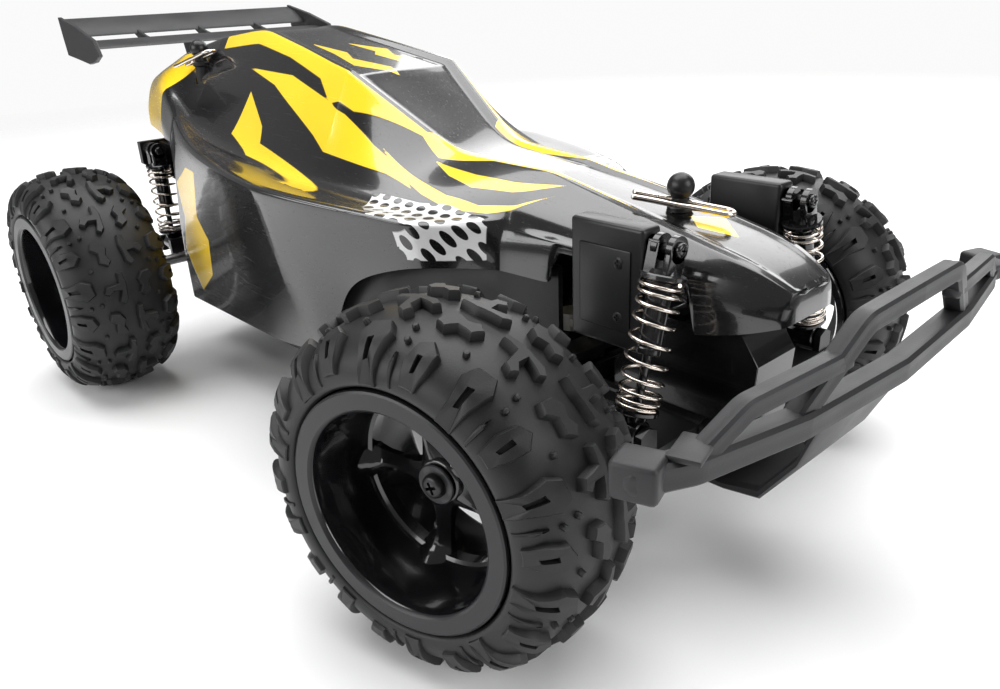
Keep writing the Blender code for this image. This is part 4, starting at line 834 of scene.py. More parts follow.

# %% [markdown]
# ## Shocks and springs
#
# Each shock has a glossy cylinder with a forked eye at the top, a rod with its spring seat below, and a nickel
# coil between. A coil is one wire that follows a rule, so a Geometry Nodes tree winds it: points on a line are
# moved round the axis by their index. The pitch closes up at both ends, as on a real spring that sits flat on
# its seats. The coil is wound to the length between its seats, and its place is baked into its mesh.


# %% A Geometry Nodes tree: a coil spring
def build_coil():
    tree, start, end = new_tree("Coil spring", [
        ("Length", "NodeSocketFloat"), ("Radius", "NodeSocketFloat"), ("Wire", "NodeSocketFloat"),
        ("Turns", "NodeSocketInt"), ("End Closing", "NodeSocketFloat"), ("Steps", "NodeSocketInt"),
        ("Finish", "NodeSocketMaterial")])
    count = maths(tree, "ADD", maths(tree, "MULTIPLY", start.outputs["Turns"], start.outputs["Steps"]), 1.0)
    line = wire(tree, "GeometryNodeMeshLine", [("Count", count), ("Offset", (0.0, 0.0, 0.01))])
    route = wire(tree, "GeometryNodeMeshToCurve", [("Mesh", line.outputs[0])])
    index = wire(tree, "GeometryNodeInputIndex").outputs[0]
    share = maths(tree, "DIVIDE", index, maths(tree, "SUBTRACT", count, 1.0))
    angle = maths(tree, "MULTIPLY", maths(tree, "MULTIPLY", share, start.outputs["Turns"]), math.tau)
    swing = maths(tree, "SINE", maths(tree, "MULTIPLY", share, math.tau))
    eased = maths(tree, "SUBTRACT", share,
                  maths(tree, "MULTIPLY", swing, maths(tree, "DIVIDE", start.outputs["End Closing"], math.tau)))
    spot = wire(tree, "ShaderNodeCombineXYZ", [
        ("X", maths(tree, "MULTIPLY", maths(tree, "COSINE", angle), start.outputs["Radius"])),
        ("Y", maths(tree, "MULTIPLY", eased, start.outputs["Length"])),
        ("Z", maths(tree, "MULTIPLY", maths(tree, "SINE", angle), start.outputs["Radius"]))])
    wound = wire(tree, "GeometryNodeSetPosition", [("Geometry", route.outputs[0]), ("Position", spot.outputs[0])])
    section = wire(tree, "GeometryNodeCurvePrimitiveCircle", [("Resolution", 8), ("Radius", start.outputs["Wire"])])
    solid = wire(tree, "GeometryNodeCurveToMesh", [
        ("Curve", wound.outputs[0]), ("Profile Curve", section.outputs[0]), ("Fill Caps", True)])
    real = wire(tree, "GeometryNodeRealizeInstances", [("Geometry", solid.outputs[0])])
    paint = wire(tree, "GeometryNodeSetMaterial", [
        ("Geometry", real.outputs[0]), ("Material", start.outputs["Finish"])])
    tree.links.new(paint.outputs[0], end.inputs["Geometry"])
    return tree


COIL = build_coil()
COIL_RADIUS = 5.1
COIL_WIRE = 0.48


def shock_ends(where):
    """The top and foot bolts of a shock, from the boxes of its two engineering parts."""
    stroke = joint_named(f"shock_{where}_stroke")
    up = Vector(stroke["axis"]).normalized()
    body_low, body_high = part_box("shock_body_" + where)
    rod_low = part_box("shock_rod_" + where)[0]
    eye = 3.6
    side = 1 if where.endswith("left") else -1
    top_z = body_high.z / MM - eye
    foot_z = rod_low.z / MM + eye
    x = (body_low.x + body_high.x) / 2 / MM
    if abs(up.y) < 0.01:
        y = (body_low.y + body_high.y) / 2 / MM
        return Vector((x, y, top_z)), Vector((x, y, foot_z))
    length = (top_z - foot_z) / up.z
    top_y = (body_low.y if side > 0 else body_high.y) / MM + side * eye
    foot_y = top_y - up.y * length
    return Vector((x, top_y, top_z)), Vector((x, foot_y, foot_z))


def on_line(top, foot):
    """A matrix whose +Y runs from the top bolt to the foot, with +X kept as the bolts' direction."""
    down = (foot - top).normalized()
    ahead = Vector((1, 0, 0))
    across = ahead.cross(down).normalized()
    return Matrix.Translation(top) @ Matrix((ahead, down, across)).transposed().to_4x4()


# Along the cylinder from the top bolt: distance down, and radius.
CYLINDER = [(5.0, 0.4), (5.0, 3.3), (6.0, 3.6), (6.0, 5.3), (6.3, 5.6), (7.1, 5.6), (7.4, 5.3), (7.4, 4.2), (8.2, 3.9),
            (9.0, 3.1), (9.6, 3.0), (23.6, 3.0), (23.9, 3.3), (25.0, 3.3), (25.3, 3.0), (25.3, 1.6), (8.0, 1.5),
            (8.0, 0.4)]
for where in CORNERS:
    top, foot = shock_ends(where)
    line = on_line(top, foot)
    reach = (foot - top).length
    prongs = []
    for side in (-1, 1):
        prong = rounded_box((side * 1.2, -1.0, -3.0), (side * 3.2, 6.4, 3.0), 0.5)
        prongs.append(prong)
        cap = lathe([(0.0, 0.0), (0.0, 3.3), (1.6, 3.3), (2.0, 2.9), (2.0, 0.0)], 32)
        prongs.append(placed(cap, Matrix.Rotation(math.pi / 2, 4, "Z") @ Matrix.Translation((0, side * 2.2 - 1, 0))))
    head = screw_head(1.9, 1.2, 24)
    prongs.append(placed(head, Matrix.Translation((3.2, 0, 0)) @ Matrix.Rotation(-math.pi / 2, 4, "Z")))
    whole = placed(joined([lathe(CYLINDER, 40)] + prongs), line)
    finished("shock_cylinder_" + where, whole, GLOSS_BLACK, "chassis", ["shock_body_" + where], sharp=32)

    seat = reach - 6.4
    rod_profile = [(14.4, 0.2), (14.4, 1.15), (seat, 1.15), (seat, 5.0), (seat + 0.3, 5.5), (seat + 1.0, 5.5),
                   (seat + 1.3, 5.2), (seat + 1.3, 3.4), (seat + 3.6, 2.7), (seat + 4.6, 0.2)]
    eye = placed(lathe([(-3.1, 1.9), (-3.1, 3.3), (-2.8, 3.6), (2.8, 3.6), (3.1, 3.3), (3.1, 1.9)], 32),
                 Matrix.Translation((0, reach, 0)) @ Matrix.Rotation(math.pi / 2, 4, "Z"))
    finished("shock_foot_" + where, placed(joined([lathe(rod_profile, 32), eye]), line), GLOSS_BLACK,
             "shock_rod_" + where, ["shock_rod_" + where], sharp=32)

    first, last = 7.4 + COIL_WIRE, seat - COIL_WIRE
    turns = 10 if where.startswith("front") else 9
    wound = grown(COIL, bmesh.new(), Length=last - first, Radius=COIL_RADIUS, Wire=COIL_WIRE, Turns=turns,
                  End_Closing=0.62, Steps=22, Finish=NICKEL)
    wound = placed(wound, line @ Matrix.Translation((0, first, 0)))
    coil = finished("coil_" + where, wound, NICKEL, "chassis", ["spring_" + where], sharp=60)
    coil.parent = None
    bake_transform(coil)
    print("shock", where, "is", round(reach, 1), "mm between bolts")

# %% [markdown]
# ## The body shell
#
# The shell is one thin moulding, drawn over a form and trimmed, then painted from behind and given decals. It is
# made as a subdivision cage, because its surfaces are smooth swells that meet in soft ridges: guides run from
# tail to nose, a ring joins them at each station, and creased edges stay crisp where the real one folds. Two
# guides more than the plain shell has make the panels: the roof, the windscreen and the hood channel are sunk
# a little inside a raised frame.

# %% Guides from tail to nose
# x from the front axle, y from the centreline, z from the ground.
SHELL_GUIDES = {
    "spine": [(-266, 0, 124), (-242, 0, 131), (-206, 0, 137.5), (-172, 0, 141), (-160, 0, 138.2), (-107, 0, 127.6),
              (-103, 0, 125.5), (-67, 0, 104.6), (-28, 0, 102.4), (10, 0, 95.8), (32, 0, 91.1), (42, 0, 88.6),
              (51, 0, 83.6)],
    "panel": [(-266, 12, 124), (-242, 14, 131), (-206, 13, 137.5), (-172, 12, 141), (-160, 12.5, 138), (-140, 15, 134),
              (-107, 18.6, 127.2), (-103, 17.6, 125.2), (-67, 9.6, 104.4), (-28, 6.6, 102.2), (10, 8, 95.6),
              (32, 8, 90.9), (42, 7.6, 88.4), (51, 6, 83.4)],
    "inner_ridge": [(-266, 14.6, 124.4), (-242, 16.4, 131.4), (-206, 15.6, 137.9), (-172, 14.4, 141.5),
                    (-160, 15, 139.2), (-140, 17.4, 135.6), (-107, 21, 129.2), (-67, 12, 105.6), (-28, 8.2, 103.5),
                    (10, 10, 96.3), (32, 10.4, 91.3), (42, 9.6, 88.8), (51, 7.4, 83.6)],
    "ridge": [(-266, 17, 124.4), (-242, 19, 131.4), (-206, 18, 137.9), (-172, 16.5, 141.4), (-140, 19.5, 135.4),
              (-107, 23, 128.9), (-67, 14.5, 105.3), (-28, 10.5, 103.3), (10, 13, 95.7), (32, 13, 90.9),
              (42, 12, 88.5), (51, 9, 83.3)],
    "shoulder": [(-266, 25, 121), (-242, 26, 127.4), (-224, 24, 125), (-206, 25, 126), (-172, 27, 125),
                 (-140, 32, 115.5), (-107, 35, 106), (-67, 35, 98.5), (-45, 31, 96.5), (-28, 23, 96), (10, 20, 92.5),
                 (32, 16, 88), (42, 14, 85.6), (51, 10.2, 81.4)],
    "gutter": [(-266, 27.5, 118), (-242, 30, 126.4), (-224, 33, 116), (-206, 37, 107), (-172, 38.5, 98),
               (-140, 40.5, 94), (-107, 43, 92.5), (-67, 42, 91.5), (-45, 36, 92), (-28, 25, 93.4), (10, 22.2, 90.6),
               (32, 17.4, 85.4), (42, 15, 83), (51, 10.6, 79.8)],
    "rail_inner": [(-266, 29.2, 114), (-242, 32, 124), (-224, 36, 114.4), (-212, 40, 111), (-196, 45, 106.2),
                   (-181, 49, 102.6), (-158, 53.5, 100.4), (-131, 58.5, 99.2), (-116, 60.6, 98.6), (-105, 61.6, 98.2),
                   (-92, 59.8, 97.2), (-76, 56.6, 96.1), (-52, 48.4, 93.8), (-45.5, 45.4, 92.4), (-33, 33.2, 92.8),
                   (-28, 26.4, 91.6), (10, 23.6, 88.8), (32, 18.2, 82), (42, 15.6, 80.4), (51, 10.8, 78.4)],
    "rail_outer": [(-266, 30.4, 110), (-242, 34, 121), (-224, 38.6, 112.6), (-212, 42.8, 110.2), (-196, 48, 105.4),
                   (-181, 52, 101.8), (-158, 56.4, 99.6), (-131, 61.4, 98.4), (-116, 63.4, 97.8), (-105, 64.4, 97.4),
                   (-92, 62.6, 96.4), (-76, 59.4, 95.3), (-52, 51.2, 93), (-45.5, 48, 91.6), (-33, 34.8, 91),
                   (-28, 27.8, 89.4), (-10, 27.6, 89.4), (10, 24.6, 87.8), (32, 18.6, 78), (42, 16, 78),
                   (51, 11, 77)],
    "flank": [(-266, 31.4, 106), (-242, 36, 108), (-224, 41, 104), (-207.5, 46.5, 101), (-206, 50.5, 70),
              (-172, 54, 68), (-131, 58, 68), (-105, 58.5, 68), (-97, 57.6, 72), (-80, 55.6, 82), (-64, 51.5, 86),
              (-46, 47, 86.6), (-33, 34.4, 86.4), (-28, 29.4, 86), (-10, 28.6, 86), (-8, 27, 88.2), (10, 25, 87),
              (29, 20, 85), (30.5, 18.8, 75), (42, 16.2, 75.4), (51, 11, 76.2)],
    "sill": [(-266, 31.4, 100), (-242, 36, 98.5), (-224, 42, 98), (-207.5, 47, 98), (-206, 50, 34), (-129, 50, 34),
             (-97, 48, 37), (-90, 48.5, 50), (-80, 50, 66), (-64, 49.5, 75), (-46, 46, 79), (-33, 33.8, 78.5),
             (-28, 30, 78), (-10, 29, 78), (-8, 27.4, 86.8), (10, 25.2, 85.8), (29, 20.3, 83.8), (30.5, 18.6, 70.5),
             (42, 16, 72.5), (51, 11, 75.4)],
}
SHELL_STATIONS = (-266, -262, -250, -240, -224, -207.5, -206, -200, -187, -172, -161, -150, -140, -131, -118, -107,
                  -103, -97, -90, -80, -67, -52, -45.5, -33, -28, -10, -8, 10, 29, 30.5, 42, 51)
# Stations where the shell turns sharply: the tail, the wheel arch, the roof's front lip, the pod's end, the nose.
SHARP_STATIONS = {-266: 0.9, -207.5: 0.9, -206: 0.9, -107: 0.5, -103: 0.35, -28: 0.5, -10: 0.8, -8: 0.8, 29: 0.8,
                  30.5: 0.8, 51: 0.9}
GUIDE_CREASES = {"panel": 0.75, "inner_ridge": 0.45, "ridge": 0.45, "rail_inner": 0.32, "rail_outer": 0.4,
                 "sill": 1.0}


def guide_at(name, x):
    points = SHELL_GUIDES[name]
    if x <= points[0][0]:
        return points[0][1:]
    for (x0, y0, z0), (x1, y1, z1) in zip(points, points[1:]):
        if x <= x1:
            share = (x - x0) / (x1 - x0)
            return y0 + (y1 - y0) * share, z0 + (z1 - z0) * share
    return points[-1][1:]


def shell_cage():
    """The cage and its creases: half rings of guides from the spine to the sill, then the other half."""
    names = list(SHELL_GUIDES)
    order = [(name, 1) for name in reversed(names[1:])] + [("spine", 0)] + [(name, -1) for name in names[1:]]
    cage = bmesh.new()
    crease = cage.edges.layers.float.new("crease_edge")
    grid = []
    for x in SHELL_STATIONS:
        row = []
        for name, side in order:
            y, z = guide_at(name, x)
            row.append(cage.verts.new((FRONT_AXLE_X + x, y * side, z)))
        grid.append(row)
    for one, two in zip(grid, grid[1:]):
        for k in range(len(order) - 1):
            cage.faces.new((one[k], one[k + 1], two[k + 1], two[k]))
    middle = len(order) // 2
    for row, x in ((grid[0], SHELL_STATIONS[0]), (grid[-1], SHELL_STATIONS[-1])):
        for k in range(middle):
            corners = (row[k], row[k + 1], row[-2 - k], row[-1 - k])
            if k + 1 == middle:
                corners = (row[k], row[middle], row[-1 - k])
            cage.faces.new(corners if x < 0 else corners[::-1])
    for row, x in zip(grid, SHELL_STATIONS):
        for a, b in zip(row, row[1:]):
            edge = cage.edges.get((a, b))
            edge[crease] = SHARP_STATIONS.get(x, 0.0)
    for k, (name, _) in enumerate(order):
        for one, two in zip(grid, grid[1:]):
            edge = cage.edges.get((one[k], two[k]))
            edge[crease] = max(edge[crease], GUIDE_CREASES.get(name, 0.0))
    bmesh.ops.recalc_face_normals(cage, faces=cage.faces)
    return cage


def evaluated(mesh, *modifiers):
    """A new mesh, with these modifiers applied in order. Each is (kind, settings)."""
    thing = bpy.data.objects.new("work", mesh)
    bpy.context.scene.collection.objects.link(thing)
    for number, (kind, settings) in enumerate(modifiers):
        step = thing.modifiers.new(f"step{number}", kind)
        for key, value in settings.items():
            setattr(step, key, value)
    bpy.context.view_layer.update()
    result = bpy.data.meshes.new_from_object(thing.evaluated_get(bpy.context.evaluated_depsgraph_get()))
    bpy.data.objects.remove(thing)
    return result


cage_mesh = bpy.data.meshes.new("shell_cage")
cage = shell_cage()
cage.to_mesh(cage_mesh)
cage.free()
SHELL_SKIN = evaluated(cage_mesh, ("SUBSURF", {"levels": 3, "render_levels": 3}))
print("shell skin:", len(SHELL_SKIN.polygons), "faces")

# %% [markdown]
# ## Decals
#
# The yellow shapes are stickers with clean edges. A texture image isn't needed: each sticker is an outline in
# the plan or the side view of the body, and every point of the skin gets its distance to the nearest sticker's
# edge, as an attribute. The material turns that distance into a crisp edge, sharper than the mesh itself.

# %% Sticker outlines, and distances from them
# Outlines in plan (x, y), with the range of heights where they lie; positive y is the left.
FLAME = [(-172, 128), (-140, 126.5), (-114, 120), (-103, 116), (-87, 107.5), (-63, 97.5), (-76, 100.5), (-107, 104.5),
         (-116, 109), (-128, 114), (-150, 123)]
SIDE_STICKERS = {
    "window flame": (FLAME, (18, 44)),
    "window bolt": ([(-166, 120), (-171, 105), (-152, 99.5), (-86, 93), (-148, 103.5), (-150.5, 109)], (20, 50)),
    "flank slash": ([(-187, 92.4), (-174, 92.5), (-181, 74), (-172, 66), (-178, 50), (-193, 40), (-203, 56),
                     (-198, 71), (-205, 84)], (44, 70)),
    "tail panel": ([(-272, 94), (-272, 140), (-218, 145), (-212, 139), (-221, 127), (-232, 118), (-237, 104),
                    (-230, 92)], (20, 70)),
}
ROOF_STRIPE = [(-200, 16.2), (-172, 15.6), (-140, 18.8), (-118, 21.4), (-106, 22.4), (-70, 14.2), (-71, 15.8),
               (-100, 26.8), (-112, 28.4), (-122, 24.6), (-146, 21.6), (-172, 19.6), (-200, 20.4)]
HOOD_CURVES = [
    [(-84, 28), (-72, 31), (-58, 33.5), (-45, 34), (-34, 29), (-18, 16), (-28, 23), (-38, 28.5), (-50, 30.5),
     (-66, 29.5)],
    [(-66, 21), (-56, 24), (-45, 24.8), (-32, 20.5), (-18, 12.4), (-34, 17.4), (-48, 20)],
]
RIDGE_STRIPE = [(-74, 12), (-77, 17.4), (-66, 19.6), (-48, 12.6), (-18, 9.4), (6, 10.5), (-18, 8.4), (-48, 8.2),
                (-60, 9.4)]
ROOF_SHARDS = [
    [(-150, -10), (-134, -5), (-126, -8), (-112, -2), (-104, -4), (-118, -13), (-134, -10.5)],
    [(-146, 3), (-132, 6), (-128, 3), (-112, 7), (-118, 14), (-126, 10), (-134, 13)],
]
NOSE_DIAMOND = [(15, 0), (20.5, 8), (30, 0), (20.5, -4.5)]


def shape_distance(point, outline):
    """How far inside an outline a flat point is, in millimetres; less than nothing outside it."""
    px, py = point
    nearest = 1e9
    inside = False
    for (ax, ay), (bx, by) in zip(outline, outline[1:] + outline[:1]):
        ex, ey = bx - ax, by - ay
        share = max(0.0, min(1.0, ((px - ax) * ex + (py - ay) * ey) / (ex * ex + ey * ey)))
        nearest = min(nearest, (px - ax - ex * share) ** 2 + (py - ay - ey * share) ** 2)
        if (ay > py) != (by > py) and px < ax + (py - ay) / ey * ex:
            inside = not inside
    return math.sqrt(nearest) * (1 if inside else -1)


def sticker_distance(point, normal):
    """point is (x from the front axle, y, z)."""
    x, y, z = point
    best = -30.0
    for outline, (low, high) in SIDE_STICKERS.values():
        if low <= abs(y) <= high:
            best = max(best, shape_distance((x, z), outline))
    if normal.z > 0.02 and z > 80:
        plan = (x, abs(y))
        for outline in [ROOF_STRIPE, RIDGE_STRIPE] + HOOD_CURVES:
            best = max(best, shape_distance(plan, outline))
        for outline in ROOF_SHARDS + [NOSE_DIAMOND]:
            best = max(best, shape_distance((x, y), outline))
    return best


MESH_PATCH = [(-75, 39), (-70, 47), (-60, 52.6), (-46, 47.6), (-38, 42), (-31, 38), (-31, 31), (-46, 32.6), (-56, 36),
              (-66, 37.6)]

PATCH_WRAP = -52  # ahead of this the sheet wraps down over the end of the pod
PATCH_FOOT, PATCH_EDGE = 81, 91.5


def patch_distance(point):
    x, y, z = point
    return min(shape_distance((x, abs(y)), MESH_PATCH), z - PATCH_FOOT if x > PATCH_WRAP else z - PATCH_EDGE)


def refined(mesh, rounds=2):
    """The mesh with the faces along sticker edges divided, so that corners stay sharp."""
    shape = bmesh.new()
    shape.from_mesh(mesh)
    for _ in range(rounds):
        shape.normal_update()
        near = {}
        for vertex in shape.verts:
            x, y, z = vertex.co.x - FRONT_AXLE_X, vertex.co.y, vertex.co.z
            near[vertex] = min(abs(sticker_distance((x, y, z), vertex.normal)), abs(patch_distance((x, y, z))))
        edges = set()
        for face in shape.faces:
            reach = max(edge.calc_length() for edge in face.edges)
            if reach > 0.9 and min(near[vertex] for vertex in face.verts) < reach * 0.9:
                edges.update(face.edges)
        bmesh.ops.subdivide_edges(shape, edges=list(edges), cuts=1, use_grid_fill=True)
    result = bpy.data.meshes.new("shell_skin")
    shape.to_mesh(result)
    shape.free()
    return result


SHELL_SKIN = refined(SHELL_SKIN)
for name in ("sticker", "patch"):
    SHELL_SKIN.attributes.new(name, "FLOAT", "POINT")
sticker, patch = SHELL_SKIN.attributes["sticker"], SHELL_SKIN.attributes["patch"]
for vertex in SHELL_SKIN.vertices:
    place = (vertex.co.x - FRONT_AXLE_X, vertex.co.y, vertex.co.z)
    sticker.data[vertex.index].value = sticker_distance(place, vertex.normal)
    patch.data[vertex.index].value = patch_distance(place)
print("shell skin refined to", len(SHELL_SKIN.polygons), "faces")

# %% [markdown]
# ## Paint
#
# Glossy black under a clear coat, yellow vinyl on top of it, and a silver patch printed with round black dots
# where the pod's end looks like perforated sheet. Real gloss is never flat: it has a very slow orange-peel
# waviness, fine dust and a few hairline scratches that only change the roughness.


# %% The shell's paint
def shell_paint():
    material, tree, shader, place = new_material("painted_shell")
    surface = placed_group(tree, GRAIN, Position=place, Grain_Size=3.2, Patch_Size=40.0)
    film = placed_group(tree, DUST, Position=place, Amount=0.10)
    sticker = wire(tree, "ShaderNodeAttribute", attribute_name="sticker").outputs["Fac"]
    patch = wire(tree, "ShaderNodeAttribute", attribute_name="patch").outputs["Fac"]
    on_sticker = remap(tree, sticker, -0.1, 0.1)
    on_patch = remap(tree, patch, -0.1, 0.1)
    in_mm = wire(tree, "ShaderNodeVectorMath", [(0, place), (1, (1000, 1000, 1000))], operation="MULTIPLY").outputs[0]
    parts = wire(tree, "ShaderNodeSeparateXYZ", [(0, in_mm)])
    unrolled = maths(tree, "SUBTRACT", maths(tree, "ABSOLUTE", parts.outputs["Y"]), parts.outputs["Z"])
    flat = wire(tree, "ShaderNodeCombineXYZ", [("X", parts.outputs["X"]), ("Y", unrolled)]).outputs[0]
    dots = placed_group(tree, DOTS, Position=flat, Pitch=5.0, Radius=1.6)
    tone = remap(tree, surface.outputs["Tone"], 0.35, 0.65)
    black = mixed(tree, tone, (0.0045, 0.0045, 0.0052), (0.008, 0.008, 0.009))
    yellow = mixed(tree, tone, (0.93, 0.6, 0.012), (0.98, 0.66, 0.02))
    silver = mixed(tree, tone, (0.6, 0.6, 0.61), (0.74, 0.74, 0.74))
    perforated = mixed(tree, dots.outputs["Mask"], silver, (0.006, 0.006, 0.006))
    colour = mixed(tree, on_sticker, black, yellow)
    colour = mixed(tree, on_patch, colour, perforated)
    colour = mixed(tree, film.outputs["Mask"], colour, DUST_COLOUR)
    tree.links.new(colour, shader.inputs["Base Color"])
    hair = wire(tree, "ShaderNodeTexNoise", [
        ("Vector", wire(tree, "ShaderNodeMapping", [("Vector", place), ("Scale", (60, 1600, 1600))]).outputs[0]),
        ("Scale", 1.0), ("Detail", 2.0)])
    scratched = remap(tree, hair.outputs["Fac"], 0.62, 0.72, 0.0, 0.12)
    gloss = maths(tree, "ADD", remap(tree, surface.outputs["Tone"], 0.3, 0.7, 0.16, 0.24), scratched)
    gloss = maths(tree, "ADD", gloss, maths(tree, "MULTIPLY", film.outputs["Mask"], 0.5), clamp=True)
    tree.links.new(gloss, shader.inputs["Roughness"])
    edge = maths(tree, "MAXIMUM", remap(tree, sticker, -0.25, 0.25), remap(tree, patch, -0.25, 0.25))
    height = maths(tree, "ADD", maths(tree, "MULTIPLY", surface.outputs["Height"], 0.25), edge)
    bump = wire(tree, "ShaderNodeBump", [("Height", height), ("Distance", 0.05 * MM)])
    tree.links.new(bump.outputs[0], shader.inputs["Normal"])
    shader.inputs["Coat Weight"].default_value = 0.7
    shader.inputs["Coat Roughness"].default_value = 0.05
    return material


SHELL_PAINT = shell_paint()
print("paint mixed:", SHELL_PAINT.name)

# %% [markdown]
# ## Trimming the shell
#
# The skin gets its thickness inwards, the mouth is opened underneath by leaving that face out, and the holes for
# the three body posts are cut with a Boolean.

# %% Thickness, holes, and the finished shell
WALL = 1.3
HOLE_RADIUS = 3.6
POST_PLACES = []
for node in ("body_post_front", "body_post_rear_left", "body_post_rear_right"):
    low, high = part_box(node)
    middle = (low + high) / 2 / MM
    POST_PLACES.append(Vector((middle.x, middle.y, high.z / MM)))

cutters = joined([placed(lathe([(-30, 0.0), (-30, HOLE_RADIUS), (30, HOLE_RADIUS), (30, 0.0)], 32),
                         Matrix.Translation(post) @ Matrix.Rotation(math.pi / 2, 4, "X")) for post in POST_PLACES])
bmesh.ops.recalc_face_normals(cutters, faces=cutters.faces)
cutter_mesh = bpy.data.meshes.new("post_holes")
cutters.to_mesh(cutter_mesh)
cutters.free()
cutter = bpy.data.objects.new("post_holes", cutter_mesh)
bpy.context.scene.collection.objects.link(cutter)
shell_mesh = evaluated(
    SHELL_SKIN,
    ("SOLIDIFY", {"thickness": WALL, "offset": -1.0, "use_even_offset": False, "use_rim": True}),
    ("BOOLEAN", {"operation": "DIFFERENCE", "object": cutter, "solver": "EXACT"}))
bpy.data.objects.remove(cutter)
shell = bmesh.new()
shell.from_mesh(shell_mesh)
painted = finished("painted_body_shell", shell, SHELL_PAINT, "chassis", ["body_shell"], sharp=40,
                   recalc=False)
print("body shell:", len(painted.data.polygons), "faces")

# %% [markdown]
# ## Strips of painted shade
#
# Under the shell's side pods a black strip is painted shade: it darkens the gap over the front wheels, where there
# is only shadow, and hides the electronics. It is one thin strip on each side, lofted along the tub with a rounded top
# edge.

# %% Black strips of painted shade under the pods
# Along each strip of painted shade: x, distance from the centreline, top and bottom.
SHADE_STRIP_ROUTE = [(-128, 45.0, 62, 34.5), (-104, 45.4, 72, 34.5), (-84, 44.6, 76, 34.5), (-62, 40.5, 78, 34.5),
              (-46, 34.5, 78.4, 40), (-34, 29.4, 79.6, 54), (-20, 26.6, 81.5, 58), (-9, 25.4, 82.5, 60)]
for side, label in ((1, "left"), (-1, "right")):
    rings = []
    for x, y, top, bottom in SHADE_STRIP_ROUTE:
        at = FRONT_AXLE_X + x
        section = [(y - 1.2, bottom), (y - 1.2, top - 1.2), (y - 0.6, top - 0.2), (y, top - 0.2), (y + 0.6, top - 1.2),
                   (y + 0.6, bottom)]
        rings.append([(at, side * out, z) for out, z in section])
    # Each strip is painted shade: a black sheet set where the gap under the pod is only in shadow.
    finished("chassis_side_wall_" + label, loft(rings), TUB_BLACK, "chassis", [], sharp=30)
print("side walls made")

# %% [markdown]
# ## Bumper
#
# The bumper is one moulding in glass-filled nylon: a deep lower bar, a raised hoop in the middle and side rails.
# Each bar is a tube whose section is a rounded square, swept along a route with its corners rounded. Chunky
# blocks close the ends of the lower bar.

# %% Bumper bars
BUMPER_X = FRONT_AXLE_X + 78 - 2.7


def bar(points, width, bend=7.0, squareness=0.8):
    route = rounded_route([(BUMPER_X + x, y, z) for x, y, z in points], bend, 5)
    return tube(route, width, 20, squareness=squareness)


LOWER_BAR = [(-13, -81.5, 71), (-8.5, -70, 70.4), (-4, -40, 69), (-2.2, 0, 68.2), (-4, 40, 69), (-8.5, 70, 70.4),
             (-13, 81.5, 71)]
HOOP = [(-4.6, -40, 70.5), (-1.2, -22.5, 86.6), (-0.6, 0, 87.2), (-1.2, 22.5, 86.6), (-4.6, 40, 70.5)]
bars = [bar(LOWER_BAR, 2.9, 10.0), bar(HOOP, 2.3, 6.0)]
for side in (1, -1):
    bars.append(bar([(-8.4, side * 71, 71), (-5.6, side * 58.5, 79), (-2.2, side * 27.5, 80)], 2.1, 5.0))
    bars.append(placed(rounded_box((-5.5, -4.2, -4.0), (4.0, 4.2, 4.0), 1.2, 3),
                       Matrix.Translation((BUMPER_X - 12.4, side * 79.6, 71))
                       @ Matrix.Rotation(-side * 0.34, 4, "Z")))
    bars.append(placed(rounded_box((-3.4, -5.0, -0.7), (3.4, 5.0, 0.7), 0.5, 2),
                       Matrix.Translation((BUMPER_X - 8.2, side * 71.0, 74.4))
                       @ Matrix.Rotation(-side * 0.3, 4, "Z")))
rings = []
# Along the chin: x, half of its width, top and bottom.
CHIN = [(-60, 15, 30.4, 26.8), (-36, 15.5, 30.6, 27.4), (-25, 16, 33.2, 29.4), (-14.5, 18, 47.4, 43.6),
        (-6, 24, 67, 62), (-3.4, 25, 68, 65.4)]
CHIN_EDGE, CHIN_CORNER = 1.0, 1.2
for x, half, top, bottom in CHIN:
    at, inner = BUMPER_X + x, half - CHIN_CORNER
    low, high = bottom + CHIN_EDGE, top - CHIN_EDGE
    rings.append([(at, -half, low), (at, -half, high), (at, -inner, top), (at, inner, top), (at, half, high),
                  (at, half, low), (at, inner, bottom), (at, -inner, bottom)])
bars.append(loft(rings))
for y in (-12, -4, 4, 12):
    bars.append(placed(rounded_box((-9.5, -0.8, -1.2), (9.5, 0.8, 1.0), 0.5, 2),
                       Matrix.Translation((BUMPER_X - 11.6, y, 56.4)) @ Matrix.Rotation(-1.17, 4, "Y")))
finished("moulded_bumper", joined(bars), NYLON, "chassis", ["front_bumper"], sharp=38)
print("bumper bars:", len(bars))

# %% [markdown]
# ## Rear wing
#
# Two thin blades stand one behind the other between kinked end plates, with ribs across the gap. Real wing blades
# are aerofoils: round in front, thin behind and a little arched, so each blade is lofted from such a section
# across the span.

# %% Blades, plates and ribs
WING_HALF = 57.4
WING_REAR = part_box("rear_wing")[0].x / MM


def aerofoil(front, back, thickness, arch=0.8, steps=12):
    """A closed section between two (x, z) points."""
    a, b = Vector(front), Vector(back)
    along = b - a
    up = Vector((along.y, -along.x)).normalized()
    if up.y < 0:
        up = -up
    upper, lower = [], []
    for k in range(steps + 1):
        share = 0.5 - 0.5 * math.cos(math.pi * k / steps)
        half = thickness * (1.48 * math.sqrt(share) - 0.63 * share - 1.76 * share ** 2 + 1.42 * share ** 3
                            - 0.5 * share ** 4)
        bow = arch * 4 * share * (1 - share)
        upper.append(a + along * share + up * (bow + half))
        lower.append(a + along * share + up * (bow - half * 0.8))
    return upper + lower[-2:0:-1]


def blade(front, back, thickness, half):
    section = aerofoil(front, back, thickness)
    return loft([[(WING_REAR + p.x, y, p.y) for p in section] for y in (-half, half)])


def plate(outline, y0, y1, bevel=0.3):
    """A flat plate with softened edges; the outline is in (x, z)."""
    rings = []
    for y, inset in ((y0, bevel), (y0 + bevel, 0.0), (y1 - bevel, 0.0), (y1, bevel)):
        rings.append([(WING_REAR + x, y, z) for x, z in shrunk(outline, inset)])
    return loft(rings)


